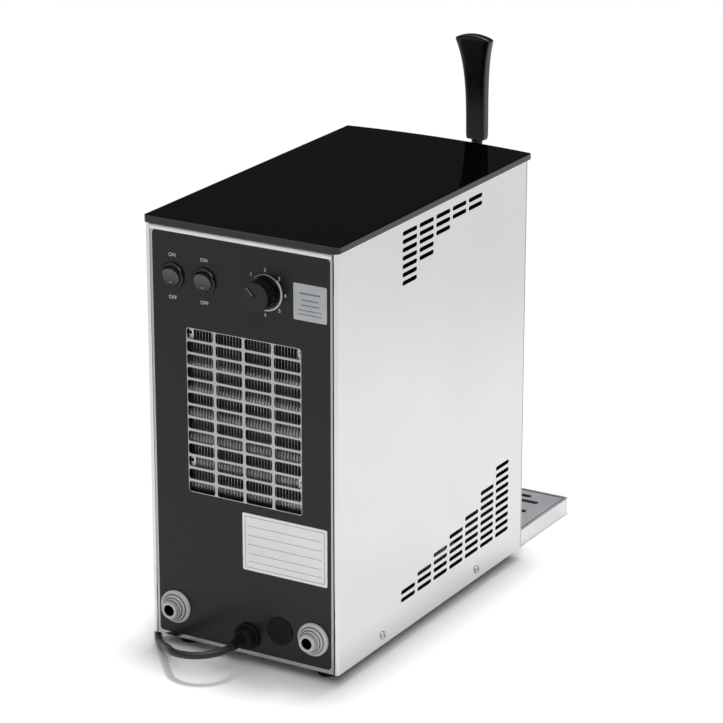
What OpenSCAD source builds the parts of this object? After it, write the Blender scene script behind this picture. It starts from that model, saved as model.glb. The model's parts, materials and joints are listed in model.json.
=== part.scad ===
// Counter-top beer cooler with a tap: stainless cabinet, black glass top, drip tray in front.
// Front faces -Y, rear panel faces +Y, the counter is z = 0.

/* [Cabinet] */
// Width of the cabinet
cab_w = 175; // [160:1:200]
// Depth of the cabinet at its sides
cab_d = 310.4; // [290:0.2:340]
// Height of the sheet-metal cabinet
cab_h = 349; // [335:1:380]
// Height of the rubber feet
foot_h = 10; // [9:0.5:16]
// Thickness of the cabinet sheets
sheet_t = 1; // [0.8:0.1:1.2]
// How far the front panel bows forward in the middle
front_bow = 6; // [4:0.5:9]
// Width of the rounded hem on the rear edge of the sides
hem_w = 4; // [3.4:0.2:5]
// Length of the hem's inner leg
hem_leg = 9; // [6:1:14]
// Width of the inward flanges on the sheets
flange_w = 12; // [9:1:14]
// Gap at the seams between sheets
seam = 0.3; // [0.2:0.05:0.5]
// Radius of a rubber foot
foot_r = 10; // [8:0.5:12]
// Distance of the feet from the cabinet's edges
foot_inset = 22; // [18:1:30]
// Height of the side screws above the sheet's lower edge
screw_z = 8.5; // [7:0.5:10]
// Distances of the two side screws from the rear
screw_rear = [70.7, 229.4];
// Radius of the side screws' heads
screw_head_r = 3.4; // [2.8:0.1:4]
// Radius of the side screws' shanks
screw_r = 1.9; // [1.5:0.1:2.2]

/* [Glass top] */
// Thickness of the glass
glass_t = 5.5; // [4:0.5:8]
// Overhang at the sides and rear
glass_over = 1.5; // [0.5:0.5:4]
// Overhang at the bowed front
glass_front = 3; // [1:0.5:6]
// Corner radius of the glass
glass_r = 5; // [1:0.5:6]
// Chamfer of the upper edge
glass_chamfer = 0.8; // [0.4:0.1:1.2]

/* [Side vents] */
// Length of a vent slot
vent_l = 23; // [18:0.5:25]
// Height of a vent slot
vent_h = 3.7; // [2.5:0.1:4.5]
// Distance from one column of slots to the next
vent_pitch_y = 26.95; // [26:0.05:28]
// Distance from one row of slots to the next
vent_pitch_z = 6.8; // [6:0.1:8]
// Distance of the first column from the rear
vent_rear = 100.4; // [90:0.2:110]
// Least bare strip before the last column
vent_front = 20; // [12:1:24]
// Distance of the top row from the sheet's upper edge
vent_top = 8.2; // [6:0.2:14]
// Distance of the bottom row from the sheet's lower edge
vent_bottom = 25.6; // [22:0.2:32]
// Slots in each column of the upper group, from the rear
vent_upper = [7, 5, 3, 2, 2];
// Slots in each column of the lower group, from the rear
vent_lower = [2, 3, 4, 5, 6, 8, 10];

/* [Rear panel] */
// How far the rear sheet lies behind the hems
panel_recess = 0.6; // [0.5:0.1:1]
// Thickness of the printed foil
foil_t = 0.4; // [0.2:0.05:0.5]
// Bare border beside the foil
foil_side = 6.5; // [5.5:0.1:8]
// Bare border above the foil
foil_top = 5.2; // [4:0.2:6]
// Thickness of the bright strip between the foil and the glass
trim_out = 1.2; // [0.8:0.1:1.4]
// Bare border below the foil
foil_bottom = 3.4; // [3:0.2:5]
// Corner radius of the foil
foil_r = 3; // [1:0.5:5]
// Middle of the grille, across
grille_x = -2; // [-6:0.5:4]
// Height of the grille's lowest row above the sheet's lower edge
grille_low = 134.6; // [131:0.2:138]
// Width kept free beside the grille, both sides together
grille_free = 60; // [56:1:66]
// Least distance from the grille's top row up to the controls
grille_clear = 45; // [42:1:50]
// Distance between columns
grille_pitch_x = 26.8; // [26:0.1:28]
// Distance between rows
grille_pitch_z = 10.7; // [10:0.1:11]
// Width of a grille slot
grille_slot_w = 24.4; // [20:0.2:25]
// Height of a grille slot
grille_slot_h = 8.7; // [6:0.1:9]
// Corner radius of a grille slot
grille_slot_r = 2; // [1:0.1:2.8]
// Bare border of the grille inside the foil
grille_border = 0.7; // [0.6:0.1:2]

/* [Controls] */
// Distance of the switches and the knob from the sheet's upper edge
control_top = 40.5; // [38:0.5:46]
// Distances of the two switches from the cabinet's left side, cooling and pump
switch_side = [25, 54.5];
// Overhang of a switch bezel past its barrel
bezel_over = 1.2; // [0.8:0.1:2]
// Thickness of a switch bezel
bezel_t = 2.2; // [1.6:0.1:3]
// Radius of a switch barrel
switch_r = 9.8; // [9.6:0.05:10]
// Length of a switch barrel
switch_l = 20; // [16:1:28]
// Radius of a round rocker
rocker_r = 7.8; // [7:0.1:8]
// Height of the rocker's raised ends above its pivot
rocker_tip = 4.4; // [3.8:0.1:4.8]
// Height of the rocker's middle above its pivot
rocker_dip = 2.6; // [2:0.1:3.2]
// Tilt of a rocker to each side
rocker_tilt = 10; // [6:1:11]
// Radius of a rocker's pivot pins
rocker_pin_r = 1; // [0.8:0.1:1.2]
// Distance of the thermostat knob from the cabinet's right side
knob_side = 64.5; // [60:0.5:70]
// Radius of the knob
knob_r = 13.6; // [12:0.2:15]
// Height of the knob
knob_h = 15; // [13:0.5:20]
// Radius of the thermostat spindle
spindle_r = 3; // [2.5:0.1:3.2]
// Radius of the thermostat bushing
bushing_r = 4.6; // [4.2:0.1:5.2]

/* [Fittings] */
// Distance of the push-fit unions from the cabinet's sides
union_side = 22.5; // [20.5:0.5:25]
// Height of the unions above the sheet's lower edge
union_z = 27; // [25:0.5:30]
// Radius of a union's flange
union_flange_r = 13.8; // [13:0.1:14.4]
// Radius of a union's threaded shank
union_r = 10; // [9.6:0.1:10.4]
// Length of a union outside the panel, without its collet
union_out = 7.2; // [6.8:0.2:10]
// Length of a union inside the panel
union_in = 19; // [16:0.5:21]
// Radius of the hose that a collet takes
tube_r = 4.8; // [4.4:0.1:5]
// Outer radius of a collet's sleeve
collet_r = 6; // [5.8:0.1:6.4]
// Radius of a collet's release flange
collet_flange_r = 7; // [6.7:0.1:7.4]
// Height of a collet's release flange
collet_flange_t = 2.2; // [1.8:0.1:2.6]
// Travel of a collet
collet_travel = 1.5; // [1:0.1:1.8]
// Length of a collet's sleeve
collet_l = 12; // [9:0.5:14]
// Distance of the blanking plug from the drink union
plug_space = 31.2; // [29:0.2:34]
// Radius of the blanking plug's cap
plug_r = 11.9; // [11.4:0.1:12.6]
// Thickness of the blanking plug's cap
plug_t = 0.8; // [0.6:0.1:1.2]
// Place of the cable gland across the panel
gland_x = -3.5; // [-6:0.5:2]
// Height of the cable gland above the sheet's lower edge
gland_z = 16; // [16:0.5:18]
// Radius of the gland's flange
gland_flange_r = 11.2; // [10.8:0.1:11.4]
// Radius of the gland's thread
gland_r = 7.8; // [7.4:0.1:8]
// Length of the gland outside the panel
gland_out = 23.7; // [22:0.1:28]

/* [Tap] */
// Distance of the tap's axis below the cabinet's top
tap_drop = 63; // [57:1:73]
// Length of bare shank between the coupling nut and the escutcheon
shank_bare = 2.9; // [2:0.1:8]
// Outer radius of the tap's barrel
barrel_r = 12.5; // [12.2:0.1:13]
// Radius of the tap's rear bore
barrel_bore_r = 8; // [7.8:0.1:8.4]
// Radius of the plunger's bore
slide_bore_r = 6; // [5.9:0.05:6.3]
// Length of the barrel behind the lever
barrel_l = 51; // [46:0.5:60]
// Radius of the tap's head
head_r = 15; // [14.4:0.1:17]
// Depth of the head below the axis
head_drop = 18; // [16:0.5:24]
// Height of the lever's ball above the axis
pivot_up = 22; // [21:0.5:23]
// Radius of the lever's ball
ball_r = 7.5; // [7:0.1:8]
// Gap round the lever's ball
ball_gap = 0.3; // [0.2:0.05:0.4]
// Radius of the lever's stem
stem_r = 4; // [3.6:0.1:4.2]
// Radius of the lever's lower arm
arm_r = 2.2; // [1.8:0.1:2.4]
// Radius of the lever's lower tip
tip_r = 3.5; // [3:0.1:3.6]
// How far the lever is pulled forward, in degrees
pull = 30; // [20:1:30]
// Height of the collar that holds the ball
collar_h = 11; // [10:0.5:13]
// Length of the spout
spout_l = 52; // [40:1:70]
// Radius of the spout's bore
spout_bore_r = 4.5; // [3.5:0.1:5]
// Distance of the flow lever's shaft from the barrel's rear end
flow_back = 11.5; // [11:0.1:14]
// Gap between the open valve's disc and the flow cone
cone_gap = 1.1; // [0.6:0.1:3]
// Radius of the flow lever's shaft
flow_r = 3; // [2.6:0.1:3.2]
// Eccentricity of the flow lever's pin
flow_ecc = 3; // [2.6:0.1:3.2]
// Radius of the flow lever's pin
flow_pin_r = 1.4; // [1.2:0.1:1.5]
// Length of the flow lever
flow_l = 26; // [20:1:30]
// Radius of the threaded shank
shank_r = 11; // [10.5:0.1:11.5]
// Radius of the shank's bore
shank_bore_r = 5; // [4:0.1:6]
// Length of the shank inside the front panel
shank_in = 34; // [30:1:40]
// Radius of the escutcheon
escutcheon_r = 21; // [19:0.5:26]
// Radius of the coupling nut
coupling_r = 17.5; // [16.5:0.1:19]
// Length of the coupling nut on the shank
coupling_grip = 8; // [6:0.5:12]

/* [Tap handle] */
// Height of the handle's lower end above the tap's axis
handle_up = 52; // [50:0.5:58]
// Length of the handle
handle_h = 95; // [85:1:115]
// Width of the handle's shank
handle_w = 16.5; // [15:0.5:20]
// Width across the handle's flared top
handle_top_w = 35; // [26:0.5:40]
// Depth of the handle
handle_d = 13; // [12:0.5:18]
// How far the handle's top leans back
handle_lean = 7; // [0:0.5:8]
// Depth of the lever's stem in the handle
handle_socket = 40; // [30:1:60]

/* [Drip tray] */
// Width of the drip tray
tray_w = 150; // [140:1:170]
// Depth of the drip tray
tray_d = 110; // [100:1:130]
// Height of the drip tray
tray_h = 14.4; // [13:0.1:22]
// Sheet of the drip tray
tray_t = 1.2; // [1:0.1:1.6]
// Width of the drip tray's folded wall
tray_rim = 2.4; // [2:0.1:3]
// Corner radius of the drip tray
tray_r = 4; // [3:0.5:8]
// Gap between the tray and the front panel
tray_gap = 0.5; // [0.3:0.1:2]
// Gap round the grid in the tray
grid_gap = 0.8; // [0.5:0.1:1.5]
// Thickness of the grid
grid_t = 1.2; // [1:0.1:2]
// How far the grid lies below the tray's rim
grid_drop = 0.4; // [0.3:0.1:2]
// Distance from one row of grid slots to the next
grid_pitch = 11.5; // [10:0.5:14]
// Rows of grid slots
grid_rows = 8; // [5:1:8]
// Width of a grid slot
grid_slot_h = 6; // [4:0.2:6.4]
// Reach of the slots in a long row, from the middle
grid_long = 57.3; // [50:0.5:62]
// Reach of the slots in a short row, from the middle
grid_short = 44.7; // [38:0.5:48]
// Metal between the slots of a row
grid_web = 6.2; // [4:0.2:9]

/* [Cooling system] */
// Gap between the rear sheet and the condenser
cond_gap = 3.6; // [3:0.2:6]
// Depth of the condenser
cond_d = 22; // [18:1:24]
// Overlap of the condenser past the grille on each side
cond_over = 4; // [2:0.5:6]
// Distance between condenser fins
fin_pitch = 2.8; // [2.6:0.1:4]
// Thickness of a fin
fin_t = 0.4; // [0.3:0.05:0.6]
// Outer radius of the condenser tube
cond_tube_r = 4; // [3:0.1:4.4]
// Depth of the condenser tube behind the fins' rear edge
cond_tube_in = 6.2; // [5.4:0.1:8]
// Height of the lowest pass above the fins' lower edge
cond_tube_low = 7.3; // [6:0.1:9]
// Distance between the condenser tube's passes
cond_pitch = 20.3; // [19.5:0.1:22]
// Distance of the fan's tips from the condenser's edge
fan_margin = 9.6; // [8:0.2:16]
// Number of fan blades
fan_blades = 5; // [3:1:7]
// Gap between the fan's blades and its duct
fan_gap = 2; // [1.5:0.1:4]
// Radius of the fan motor
motor_r = 20; // [16:0.5:24]
// Length of the fan motor
motor_l = 28; // [22:1:34]
// Radius of the compressor's can
comp_r = 52; // [45:0.5:55]
// Height of the compressor's can
comp_h = 132; // [110:1:140]
// Distance of the compressor's axis from the rear
comp_rear = 146; // [142:1:152]
// Height of the compressor's grommets
grommet_h = 9; // [6:0.5:12]
// Gap between the insulation and the compressor
insul_rear = 23.9; // [20:0.1:32]
// Gap between the insulation and the sides
insul_side = 14.2; // [13:0.1:20]
// Gap between the insulation and the top sheet
insul_top = 17; // [12:0.5:24]
// Wall of the insulation
insul_t = 14; // [11:0.5:16]
// Outer radius of the refrigerant lines
pipe_r = 3; // [2.5:0.1:3.5]
// Length of the air pump
pump_l = 80; // [60:1:84]
// Depth of the air pump
pump_d = 34; // [28:1:38]
// Height of the air pump
pump_h = 50; // [40:1:60]

/* [Mains lead] */
// Diameter of the lead
cord_d = 6.2; // [6:0.1:6.3]
// Outer radius of the coil at its middle line
coil_r = 47; // [46:0.5:50]
// Turns in each layer of the coil
coil_turns = 3; // [2:1:3]
// Gap between the turns of the coil
coil_space = 0.6; // [0.5:0.1:1.2]
// Width of the tie round the coil
tie_w = 12; // [8:1:16]
// Thickness of the tie
tie_t = 1; // [0.8:0.1:1.2]
// Radius of the plug's face
plug_face_r = 18.5; // [17:0.5:19]
// Length of the plug's body
plug_l = 38; // [34:1:44]
// Radius of a plug pin
pin_r = 2.4; // [2:0.1:2.5]
// Length of a plug pin
pin_l = 19; // [17:0.5:20]

/* [Hidden] */
$fn = 64;

// Overall places, with the outline centred on the origin
half_l = (gland_out + cab_d + front_bow + tray_gap + tray_d) / 2;
rear_y = half_l - gland_out;
front_y = rear_y - cab_d;
front_mid = front_y - front_bow;
half_w = cab_w / 2;
inner_x = half_w - sheet_t - seam;
top_z = foot_h + cab_h;
hem_r = hem_w / 2;
panel_x = half_w - hem_w - seam;
back_y = rear_y - panel_recess;
panel_in = back_y - sheet_t;
foil_y = back_y + foil_t;
bow_r = (half_w * half_w + front_bow * front_bow) / (2 * front_bow);
bow_y = front_mid + bow_r;
bow_fn = 720;
floor_z = foot_h + sheet_t;
running = 0.05;
easy = 0.3;

// Vents, with as many columns as the side has room for
slot_inset = vent_h / 2;
vent_cols = floor((cab_d - vent_rear - vent_front) / vent_pitch_y);

// Grille, with as many rows and columns as the panel has room for
grille_cols = floor((cab_w - grille_free) / grille_pitch_x);
grille_rows = 1 + floor((cab_h - control_top - grille_clear - grille_low) / grille_pitch_z);
grille_w = (grille_cols - 1) * grille_pitch_x + grille_slot_w + 2 * grille_border;
grille_h = (grille_rows - 1) * grille_pitch_z + grille_slot_h + 2 * grille_border;
grille_mid_z = foot_h + grille_low + (grille_rows - 1) / 2 * grille_pitch_z;

// Controls
control_h = top_z - control_top;
switch_x = [for (d = switch_side) half_w - d];
knob_x = knob_side - half_w;
bezel_r = switch_r + bezel_over;
rocker_y = foil_y + bezel_t - 2;
pocket_r = rocker_r * cos(rocker_tilt) + rocker_tip * sin(rocker_tilt) + easy;
pocket_floor = 4;
rocker_pin_l = 0.5;
rocker_pin_gap = 0.2;
thermo_w = 36;
thermo_h = 30;
thermo_d = 30;
knob_gap = 0.5;
knob_skirt_h = 3;
knob_grip_r = knob_r - 1.6;

// Fittings
union_h = foot_h + union_z;
union_x = half_w - union_side;
plug_x = plug_space - union_x;
gland_h = foot_h + gland_z;
hole_gap = 0.3;
nut_t = 6;
nut_over = 3.5;
union_step_r = union_flange_r - 3.2;
union_nose_r = union_flange_r - 5.1;
union_flange_t = 2.6;
union_step_t = 5.2;
collet_y = rear_y + union_out + collet_travel;
collet_bore = collet_l + collet_travel + 0.5;
gland_tip_r = cord_d / 2 + 1.7;
gland_flange_t = 3.4;
gland_in = 12;

// Tap
escutcheon_t = 5;
escutcheon_gap = 0.1;
tap_z = top_z - tap_drop;
tap_y = front_mid - escutcheon_gap - escutcheon_t - shank_bare - coupling_grip - barrel_l;
pivot_z = tap_z + pivot_up;
tip_travel = pivot_up * sin(pull);
block_l = 14;
block_slot = 2 * tip_r + 2.2;
plunger_gap = 0.2;
plunger_rod_r = 2.5;
disc_t = 3;
disc_r = barrel_bore_r - 0.6;
lug_t = 3;
lug_r = barrel_r + 1.7;
lever_slot = stem_r + 0.6;
flow_rest = -45;
flow_y = barrel_l - flow_back;
flow_hub_r = flow_r + 1.4;
flow_hub_l = 5;
hub_gap = 1.1;
cone_l = 10;
cone_y = flow_y + flow_ecc * sin(flow_rest);
seat_y = cone_y - cone_l / 2 - cone_gap - tip_travel - disc_t - easy;
coupling_front = flow_y + flow_hub_r + hub_gap;
coupling_l = barrel_l + coupling_grip - coupling_front;
panel_curve_gap = 0.4;

// Handle
handle_z = tap_z + handle_up;
handle_rings = 18;
handle_foot = 0.04;
handle_dome = 0.05;
handle_neck = 7;
handle_arc = 4.5;
handle_sides = 24;

// Drip tray
tray_y = front_mid - tray_gap - tray_d / 2;
grid_w = tray_w - 2 * tray_rim - 2 * grid_gap;
grid_d = tray_d - 2 * tray_rim - 2 * grid_gap;
grid_top = tray_h - grid_drop;

// Cooling
cond_y = panel_in - cond_gap;
cond_w = grille_w + 2 * cond_over;
cond_h = grille_h + 2 * cond_over;
cond_side = 2;
cond_passes = 2 * floor((cond_h - cond_tube_low) / (2 * cond_pitch));
fan_r = min(cond_w, cond_h) / 2 - fan_margin;
shroud_t = 1.5;
shroud_y = cond_y - cond_d - easy;
shroud_leg_w = 84;
shroud_foot = 5;
duct_l = 14;
duct_t = 1.5;
fan_y = shroud_y - shroud_t - duct_l / 2;
fan_l = 9;
hub_r = 13;
hub_back = 2;
shaft_r = 2.5;
shaft_l = 8;
motor_front = fan_y - fan_l / 2 - hub_back - 1;
arm_w = 6;
comp_y = rear_y - comp_rear;
comp_z = floor_z + grommet_h;
plate_t = 3;
grommet_x = comp_r - 8;
comp_seam = 2.5;
comp_cap = 60;
insul_front = 8;
insul_back = comp_y - comp_r - comp_seam - insul_rear;
insul_d = insul_back - front_y - insul_front;
insul_w = 2 * (inner_x - insul_side);
insul_h = cab_h - 2 * sheet_t - insul_top;
insul_y = insul_back - insul_d / 2;
block_gap = 0.3;
line_z = union_h;
line_r = tube_r - running;
line_in = 8;
line_wall = 1.4;
pipe_bend = 12;
stub_l = 14;
stub_z = comp_z + comp_h + 1;
suction_z = floor_z + insul_h - 3 * insul_t;
cond_tube_y = cond_y - cond_tube_in;
clip_h = 10;
clip_t = 1;
clip_show = 4.5;
clip_hole_r = 1.5;
clip_leg = 6;
cond_run = cond_w + 2;
cond_end_x = grille_x - cond_run / 2;
cond_low_z = grille_mid_z - cond_h / 2 + cond_tube_low;
cond_top_z = cond_low_z + (cond_passes - 1) * cond_pitch;
liquid_x = -40;
drier_r = 8;
pump_y = shroud_y - shroud_t - 6 - pump_d / 2;
pump_foot = 4;

tie_gap = 0.2;

// Mains lead: points of the stretch from the gland to the coil, chosen by hand
cord_r = cord_d / 2;
cord_start = rear_y + gland_out;
cord_points = [
    [gland_x, cord_start, gland_h],
    [gland_x, 232.7, 25.8],
    [-1.9, 241.1, 24.1],
    [3.2, 249.4, 20.6],
    [12.3, 255.9, 15.3],
    [23.8, 257.8, 10],
    [36.2, 254.1, 5.9],
    [47.6, 245.6, 3.8],
    [57.6, 234.2, 3.2],
    [67.4, 221.4, 3.2],
    [77.2, 208.5, 3.2],
    [88, 194, 3.2],
    [98, 178, 3.2],
    [105, 160, 3.2],
    [109, 143, 3.2],
    [110, 125, 3.2],
    [110, 100, 3.2],
    [110, 70, 3.2],
    [110, 40, 3.3],
    [110, 15, 3.8],
    [110, -5, 4.3]
];
cord_lane = 110;
cord_steps = 2;
cord_sides = 10;

// Coil: three turns in, a climbing half turn, and out again above
coil_x = cord_lane + coil_r;
coil_y = -20;
coil_pitch = cord_d + coil_space;
coil_z = cord_r + tie_t + tie_gap;
coil_lift = coil_pitch;
coil_sides = 6;
coil_rings = 24;
coil_in_r = coil_r - coil_turns * coil_pitch;
coil_out_turns = coil_turns - 0.5;
coil_lead = 6;

function coil_radius(turn) =
    turn <= coil_turns ? coil_r - coil_pitch * turn :
    turn <= coil_turns + 0.25 ? coil_in_r - coil_pitch * (turn - coil_turns) :
    turn <= coil_turns + 0.5 ? coil_in_r - coil_pitch * (coil_turns + 0.5 - turn) :
    coil_in_r + coil_pitch * (turn - coil_turns - 0.5);
function coil_height(turn) =
    coil_z + coil_lift * min(max((turn - coil_turns) / 0.5, 0), 1);
function coil_point(turn) = [
    coil_x + coil_radius(turn) * cos(180 + 360 * turn),
    coil_y + coil_radius(turn) * sin(180 + 360 * turn),
    coil_height(turn)
];
coil_total = coil_turns + 0.5 + coil_out_turns;
coil_body = [for (i = [0 : coil_total * coil_rings]) coil_point(i / coil_rings)];
coil_end_x = coil_x - coil_radius(coil_total);
coil_points = concat(
    [[coil_x - coil_r, coil_y + coil_lead, coil_z]],
    coil_body,
    [[coil_end_x, coil_y - coil_lead, coil_z + coil_lift]]
);
coil_gap = min([
    for (i = [0 : len(coil_body) - 1])
        for (j = [i + coil_rings / 2 : 1 : len(coil_body) - 1])
            norm(coil_body[i] - coil_body[j])
]) - cord_d;
echo(coil_least_gap_mm = coil_gap);

// Tail from the coil to the plug, chosen by hand
plug_y = -92;
plug_z = plug_face_r;
tail_points = [
    [coil_end_x, coil_y - coil_lead, coil_z + coil_lift],
    [coil_end_x, -34, 11.4],
    [coil_end_x, -44, 12.6],
    [coil_end_x, -54, 14.6],
    [coil_end_x, -64, 16.8],
    [coil_end_x, -74, 18.2],
    [coil_end_x, -83, plug_z],
    [coil_end_x, plug_y, plug_z]
];

// Flat shapes
module stadium(l, h) {
    square([l - h, h], center = true);
    for (s = [-1, 1]) translate([s * (l - h) / 2, 0]) circle(h / 2);
}

module rounded(w, h, r) {
    square([w - 2 * r, h], center = true);
    square([w, h - 2 * r], center = true);
    for (x = [-1, 1], y = [-1, 1])
        translate([x * (w / 2 - r), y * (h / 2 - r)]) circle(r);
}

// Draws a flat shape of x and z at the plane y, and makes it t thick towards -Y
module facing_rear(y, t) {
    translate([0, y, 0]) rotate([90, 0, 0]) linear_extrude(t) children();
}

// Draws a flat shape of y and z at the plane x, and makes it t thick towards +X
module facing_side(x, t) {
    translate([x, 0, 0]) rotate([90, 0, 90]) linear_extrude(t) children();
}

// Turns a shape that stands on z to point along +Y
module along_y() {
    rotate([-90, 0, 0]) children();
}

// Tube swept along points, with flat ends square to the headings given
function unit(v) = v / norm(v);
function curve_at(p, i, t) =
    let (
        a = p[max(i - 1, 0)], b = p[i], c = p[i + 1], d = p[min(i + 2, len(p) - 1)]
    )
    0.5 * (2 * b + (c - a) * t + (2 * a - 5 * b + 4 * c - d) * t * t
        + (3 * b - a - 3 * c + d) * t * t * t);
function smooth(p, steps) = concat(
    [for (i = [0 : len(p) - 2], s = [0 : steps - 1]) curve_at(p, i, s / steps)],
    [p[len(p) - 1]]
);
function heading(p, i) = unit(p[min(i + 1, len(p) - 1)] - p[max(i - 1, 0)]);
function side_of(d) = unit(cross(d, abs(d.z) < 0.9 ? [0, 0, 1] : [1, 0, 0]));
function ring(c, d, r, sides) =
    let (u = side_of(d), v = cross(u, d))
    [for (k = [0 : sides - 1]) c + r * (u * cos(360 * k / sides) + v * sin(360 * k / sides))];

module tube(p, r, sides, start, end) {
    n = len(p);
    rings = [
        for (i = [0 : n - 1])
            each ring(p[i], i == 0 ? start : i == n - 1 ? end : heading(p, i), r, sides)
    ];
    walls = [
        for (i = [0 : n - 2], k = [0 : sides - 1])
            let (
                a = i * sides + k, b = i * sides + (k + 1) % sides,
                c = a + sides, d = b + sides
            )
            each [[a, b, d], [a, d, c]]
    ];
    near = [for (k = [1 : sides - 2]) [0, k + 1, k]];
    far = [for (k = [1 : sides - 2]) [(n - 1) * sides, (n - 1) * sides + k, (n - 1) * sides + k + 1]];
    polyhedron(rings, concat(walls, near, far));
}

// Cabinet sheets
module vent_slots() {
    for (c = [0 : min(len(vent_upper), vent_cols) - 1], r = [0 : vent_upper[c] - 1])
        translate([
            rear_y - vent_rear - c * vent_pitch_y - vent_l / 2,
            top_z - vent_top - slot_inset - r * vent_pitch_z
        ]) stadium(vent_l, vent_h);
    for (c = [0 : min(len(vent_lower), vent_cols) - 1], r = [0 : vent_lower[c] - 1])
        translate([
            rear_y - vent_rear - c * vent_pitch_y - vent_l / 2,
            foot_h + vent_bottom + slot_inset + r * vent_pitch_z
        ]) stadium(vent_l, vent_h);
}

module screw_holes(r) {
    for (d = screw_rear) translate([rear_y - d, foot_h + screw_z]) circle(r);
}

// Right-hand sheet: flat wall, rounded rear hem and front flange
module side_sheet() {
    front_edge = front_y + sheet_t + easy + seam;
    hem_y = rear_y - hem_r;
    facing_side(half_w - sheet_t, sheet_t) difference() {
        translate([front_edge, foot_h]) square([hem_y - front_edge, cab_h]);
        vent_slots();
        screw_holes(screw_r + seam);
    }
    translate([0, 0, foot_h]) linear_extrude(cab_h) {
        difference() {
            translate([half_w - hem_r, hem_y]) circle(hem_r);
            translate([half_w - hem_r, hem_y]) circle(hem_r - sheet_t);
            translate([half_w - hem_w, hem_y - hem_w]) square([hem_w, hem_w]);
        }
        translate([half_w - hem_w, hem_y - hem_leg]) square([sheet_t, hem_leg]);
        translate([half_w - flange_w, front_edge]) square([flange_w, sheet_t]);
    }
}

module side_panel_right() {
    color("gainsboro") side_sheet();
}

module side_panel_left() {
    color("gainsboro") mirror([1, 0, 0]) side_sheet();
}

module grille_slots() {
    for (c = [0 : grille_cols - 1], r = [0 : grille_rows - 1])
        translate([
            grille_x + (c - (grille_cols - 1) / 2) * grille_pitch_x,
            grille_mid_z + (r - (grille_rows - 1) / 2) * grille_pitch_z
        ]) rounded(grille_slot_w, grille_slot_h, grille_slot_r);
}

// Holes for everything that passes through the rear sheet and its foil
module rear_holes() {
    for (x = switch_x) translate([x, control_h]) circle(switch_r + hole_gap);
    translate([knob_x, control_h]) circle(bushing_r + hole_gap);
    for (x = [-union_x, union_x]) translate([x, union_h]) circle(union_r + hole_gap);
    translate([plug_x, union_h]) circle(plug_r - 2);
    translate([gland_x, gland_h]) circle(gland_r + hole_gap);
}

// Rear sheet; four clips on its inner face hold the condenser and show at the ends of two slot rows
module rear_panel() {
    color("silver") {
        facing_rear(back_y, sheet_t) difference() {
            translate([-panel_x, foot_h]) square([2 * panel_x, cab_h]);
            grille_slots();
            rear_holes();
        }
        for (s = [-1, 1])
            translate([s * (panel_x - sheet_t / 2) - sheet_t / 2, panel_in - flange_w, foot_h])
                cube([sheet_t, flange_w + sheet_t / 2, cab_h]);
        for (s = [0, 1], row = [2, grille_rows - 1])
            translate([grille_x, cond_y + easy, foot_h + grille_low + row * grille_pitch_z - clip_h / 2])
                mirror([s, 0, 0]) translate([grille_w / 2 - grille_border, 0, 0]) {
                    difference() {
                        translate([-clip_show, 0, 0]) cube([clip_show + clip_leg, clip_t, clip_h]);
                        translate([-clip_show / 3, -1, clip_h / 2])
                            along_y() cylinder(r = clip_hole_r, h = clip_t + 2);
                    }
                    translate([clip_leg - clip_t, 0, 0])
                        cube([clip_t, panel_in - cond_y - easy + sheet_t / 2, clip_h]);
                }
    }
}

module rear_foil() {
    foil_h = cab_h - foil_top - foil_bottom;
    color("#2c2c2a") facing_rear(foil_y, foil_t) difference() {
        translate([0, foot_h + foil_bottom + foil_h / 2])
            rounded(cab_w - 2 * foil_side, foil_h, foil_r);
        translate([grille_x, grille_mid_z]) rounded(grille_w, grille_h, foil_r);
        rear_holes();
    }
}

// Half-round strip under the glass's rear edge
module rear_trim() {
    mid = top_z - foil_top / 2;
    high = foil_top / 2 - seam;
    color("whitesmoke") facing_side(seam - panel_x, 2 * (panel_x - seam))
        polygon([for (a = [-90 : 10 : 90]) [back_y + running + trim_out * cos(a), mid + high * sin(a)]]);
}

// Bowed outline shared by the front panel, the top sheet and the glass
module bow(r) {
    translate([0, bow_y]) circle(r, $fn = bow_fn);
}

module front_panel() {
    color("gainsboro") difference() {
        translate([0, 0, foot_h]) linear_extrude(cab_h) intersection() {
            difference() {
                bow(bow_r);
                bow(bow_r - sheet_t);
            }
            translate([-half_w, front_mid - sheet_t])
                square([cab_w, front_bow + 2 * sheet_t]);
        }
        translate([0, front_mid - sheet_t, tap_z])
            along_y() cylinder(r = shank_r + hole_gap, h = 3 * sheet_t);
    }
}

module base_pan() {
    front_in = front_y + 2 * sheet_t + easy + 2 * seam;
    rear_in = panel_in - seam;
    depth = rear_in - front_in;
    flange_h = 15;
    corner_x = panel_x - 2 * sheet_t - seam;
    corner_d = flange_w + seam + hem_leg;
    color("darkgray") difference() {
        translate([-inner_x, front_in, foot_h]) cube([2 * inner_x, depth, sheet_t + flange_h]);
        translate([-inner_x + sheet_t, front_in + sheet_t, floor_z])
            cube([2 * (inner_x - sheet_t), depth, flange_h + sheet_t]);
        for (s = [0, 1]) mirror([s, 0, 0])
            translate([corner_x, rear_in - corner_d, foot_h - sheet_t])
                cube([cab_w, cab_d, cab_h]);
        facing_side(-cab_w, 2 * cab_w) screw_holes(screw_r + seam);
    }
}

module top_panel() {
    front_in = front_y + 2 * sheet_t + easy + 2 * seam;
    rear_in = panel_in - seam;
    lip_end = rear_y - hem_w - hem_leg - flange_w;
    color("silver") {
        translate([0, 0, top_z - sheet_t]) linear_extrude(sheet_t)
            translate([-panel_x + sheet_t + seam, front_in])
                square([2 * (panel_x - sheet_t - seam), rear_in - front_in]);
        for (s = [-1, 1])
            translate([s * (panel_x - 1.5 * sheet_t - seam) - sheet_t / 2, front_in, top_z - vent_top + seam])
                cube([sheet_t, lip_end - front_in, vent_top - seam - sheet_t / 2]);
    }
}

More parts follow.
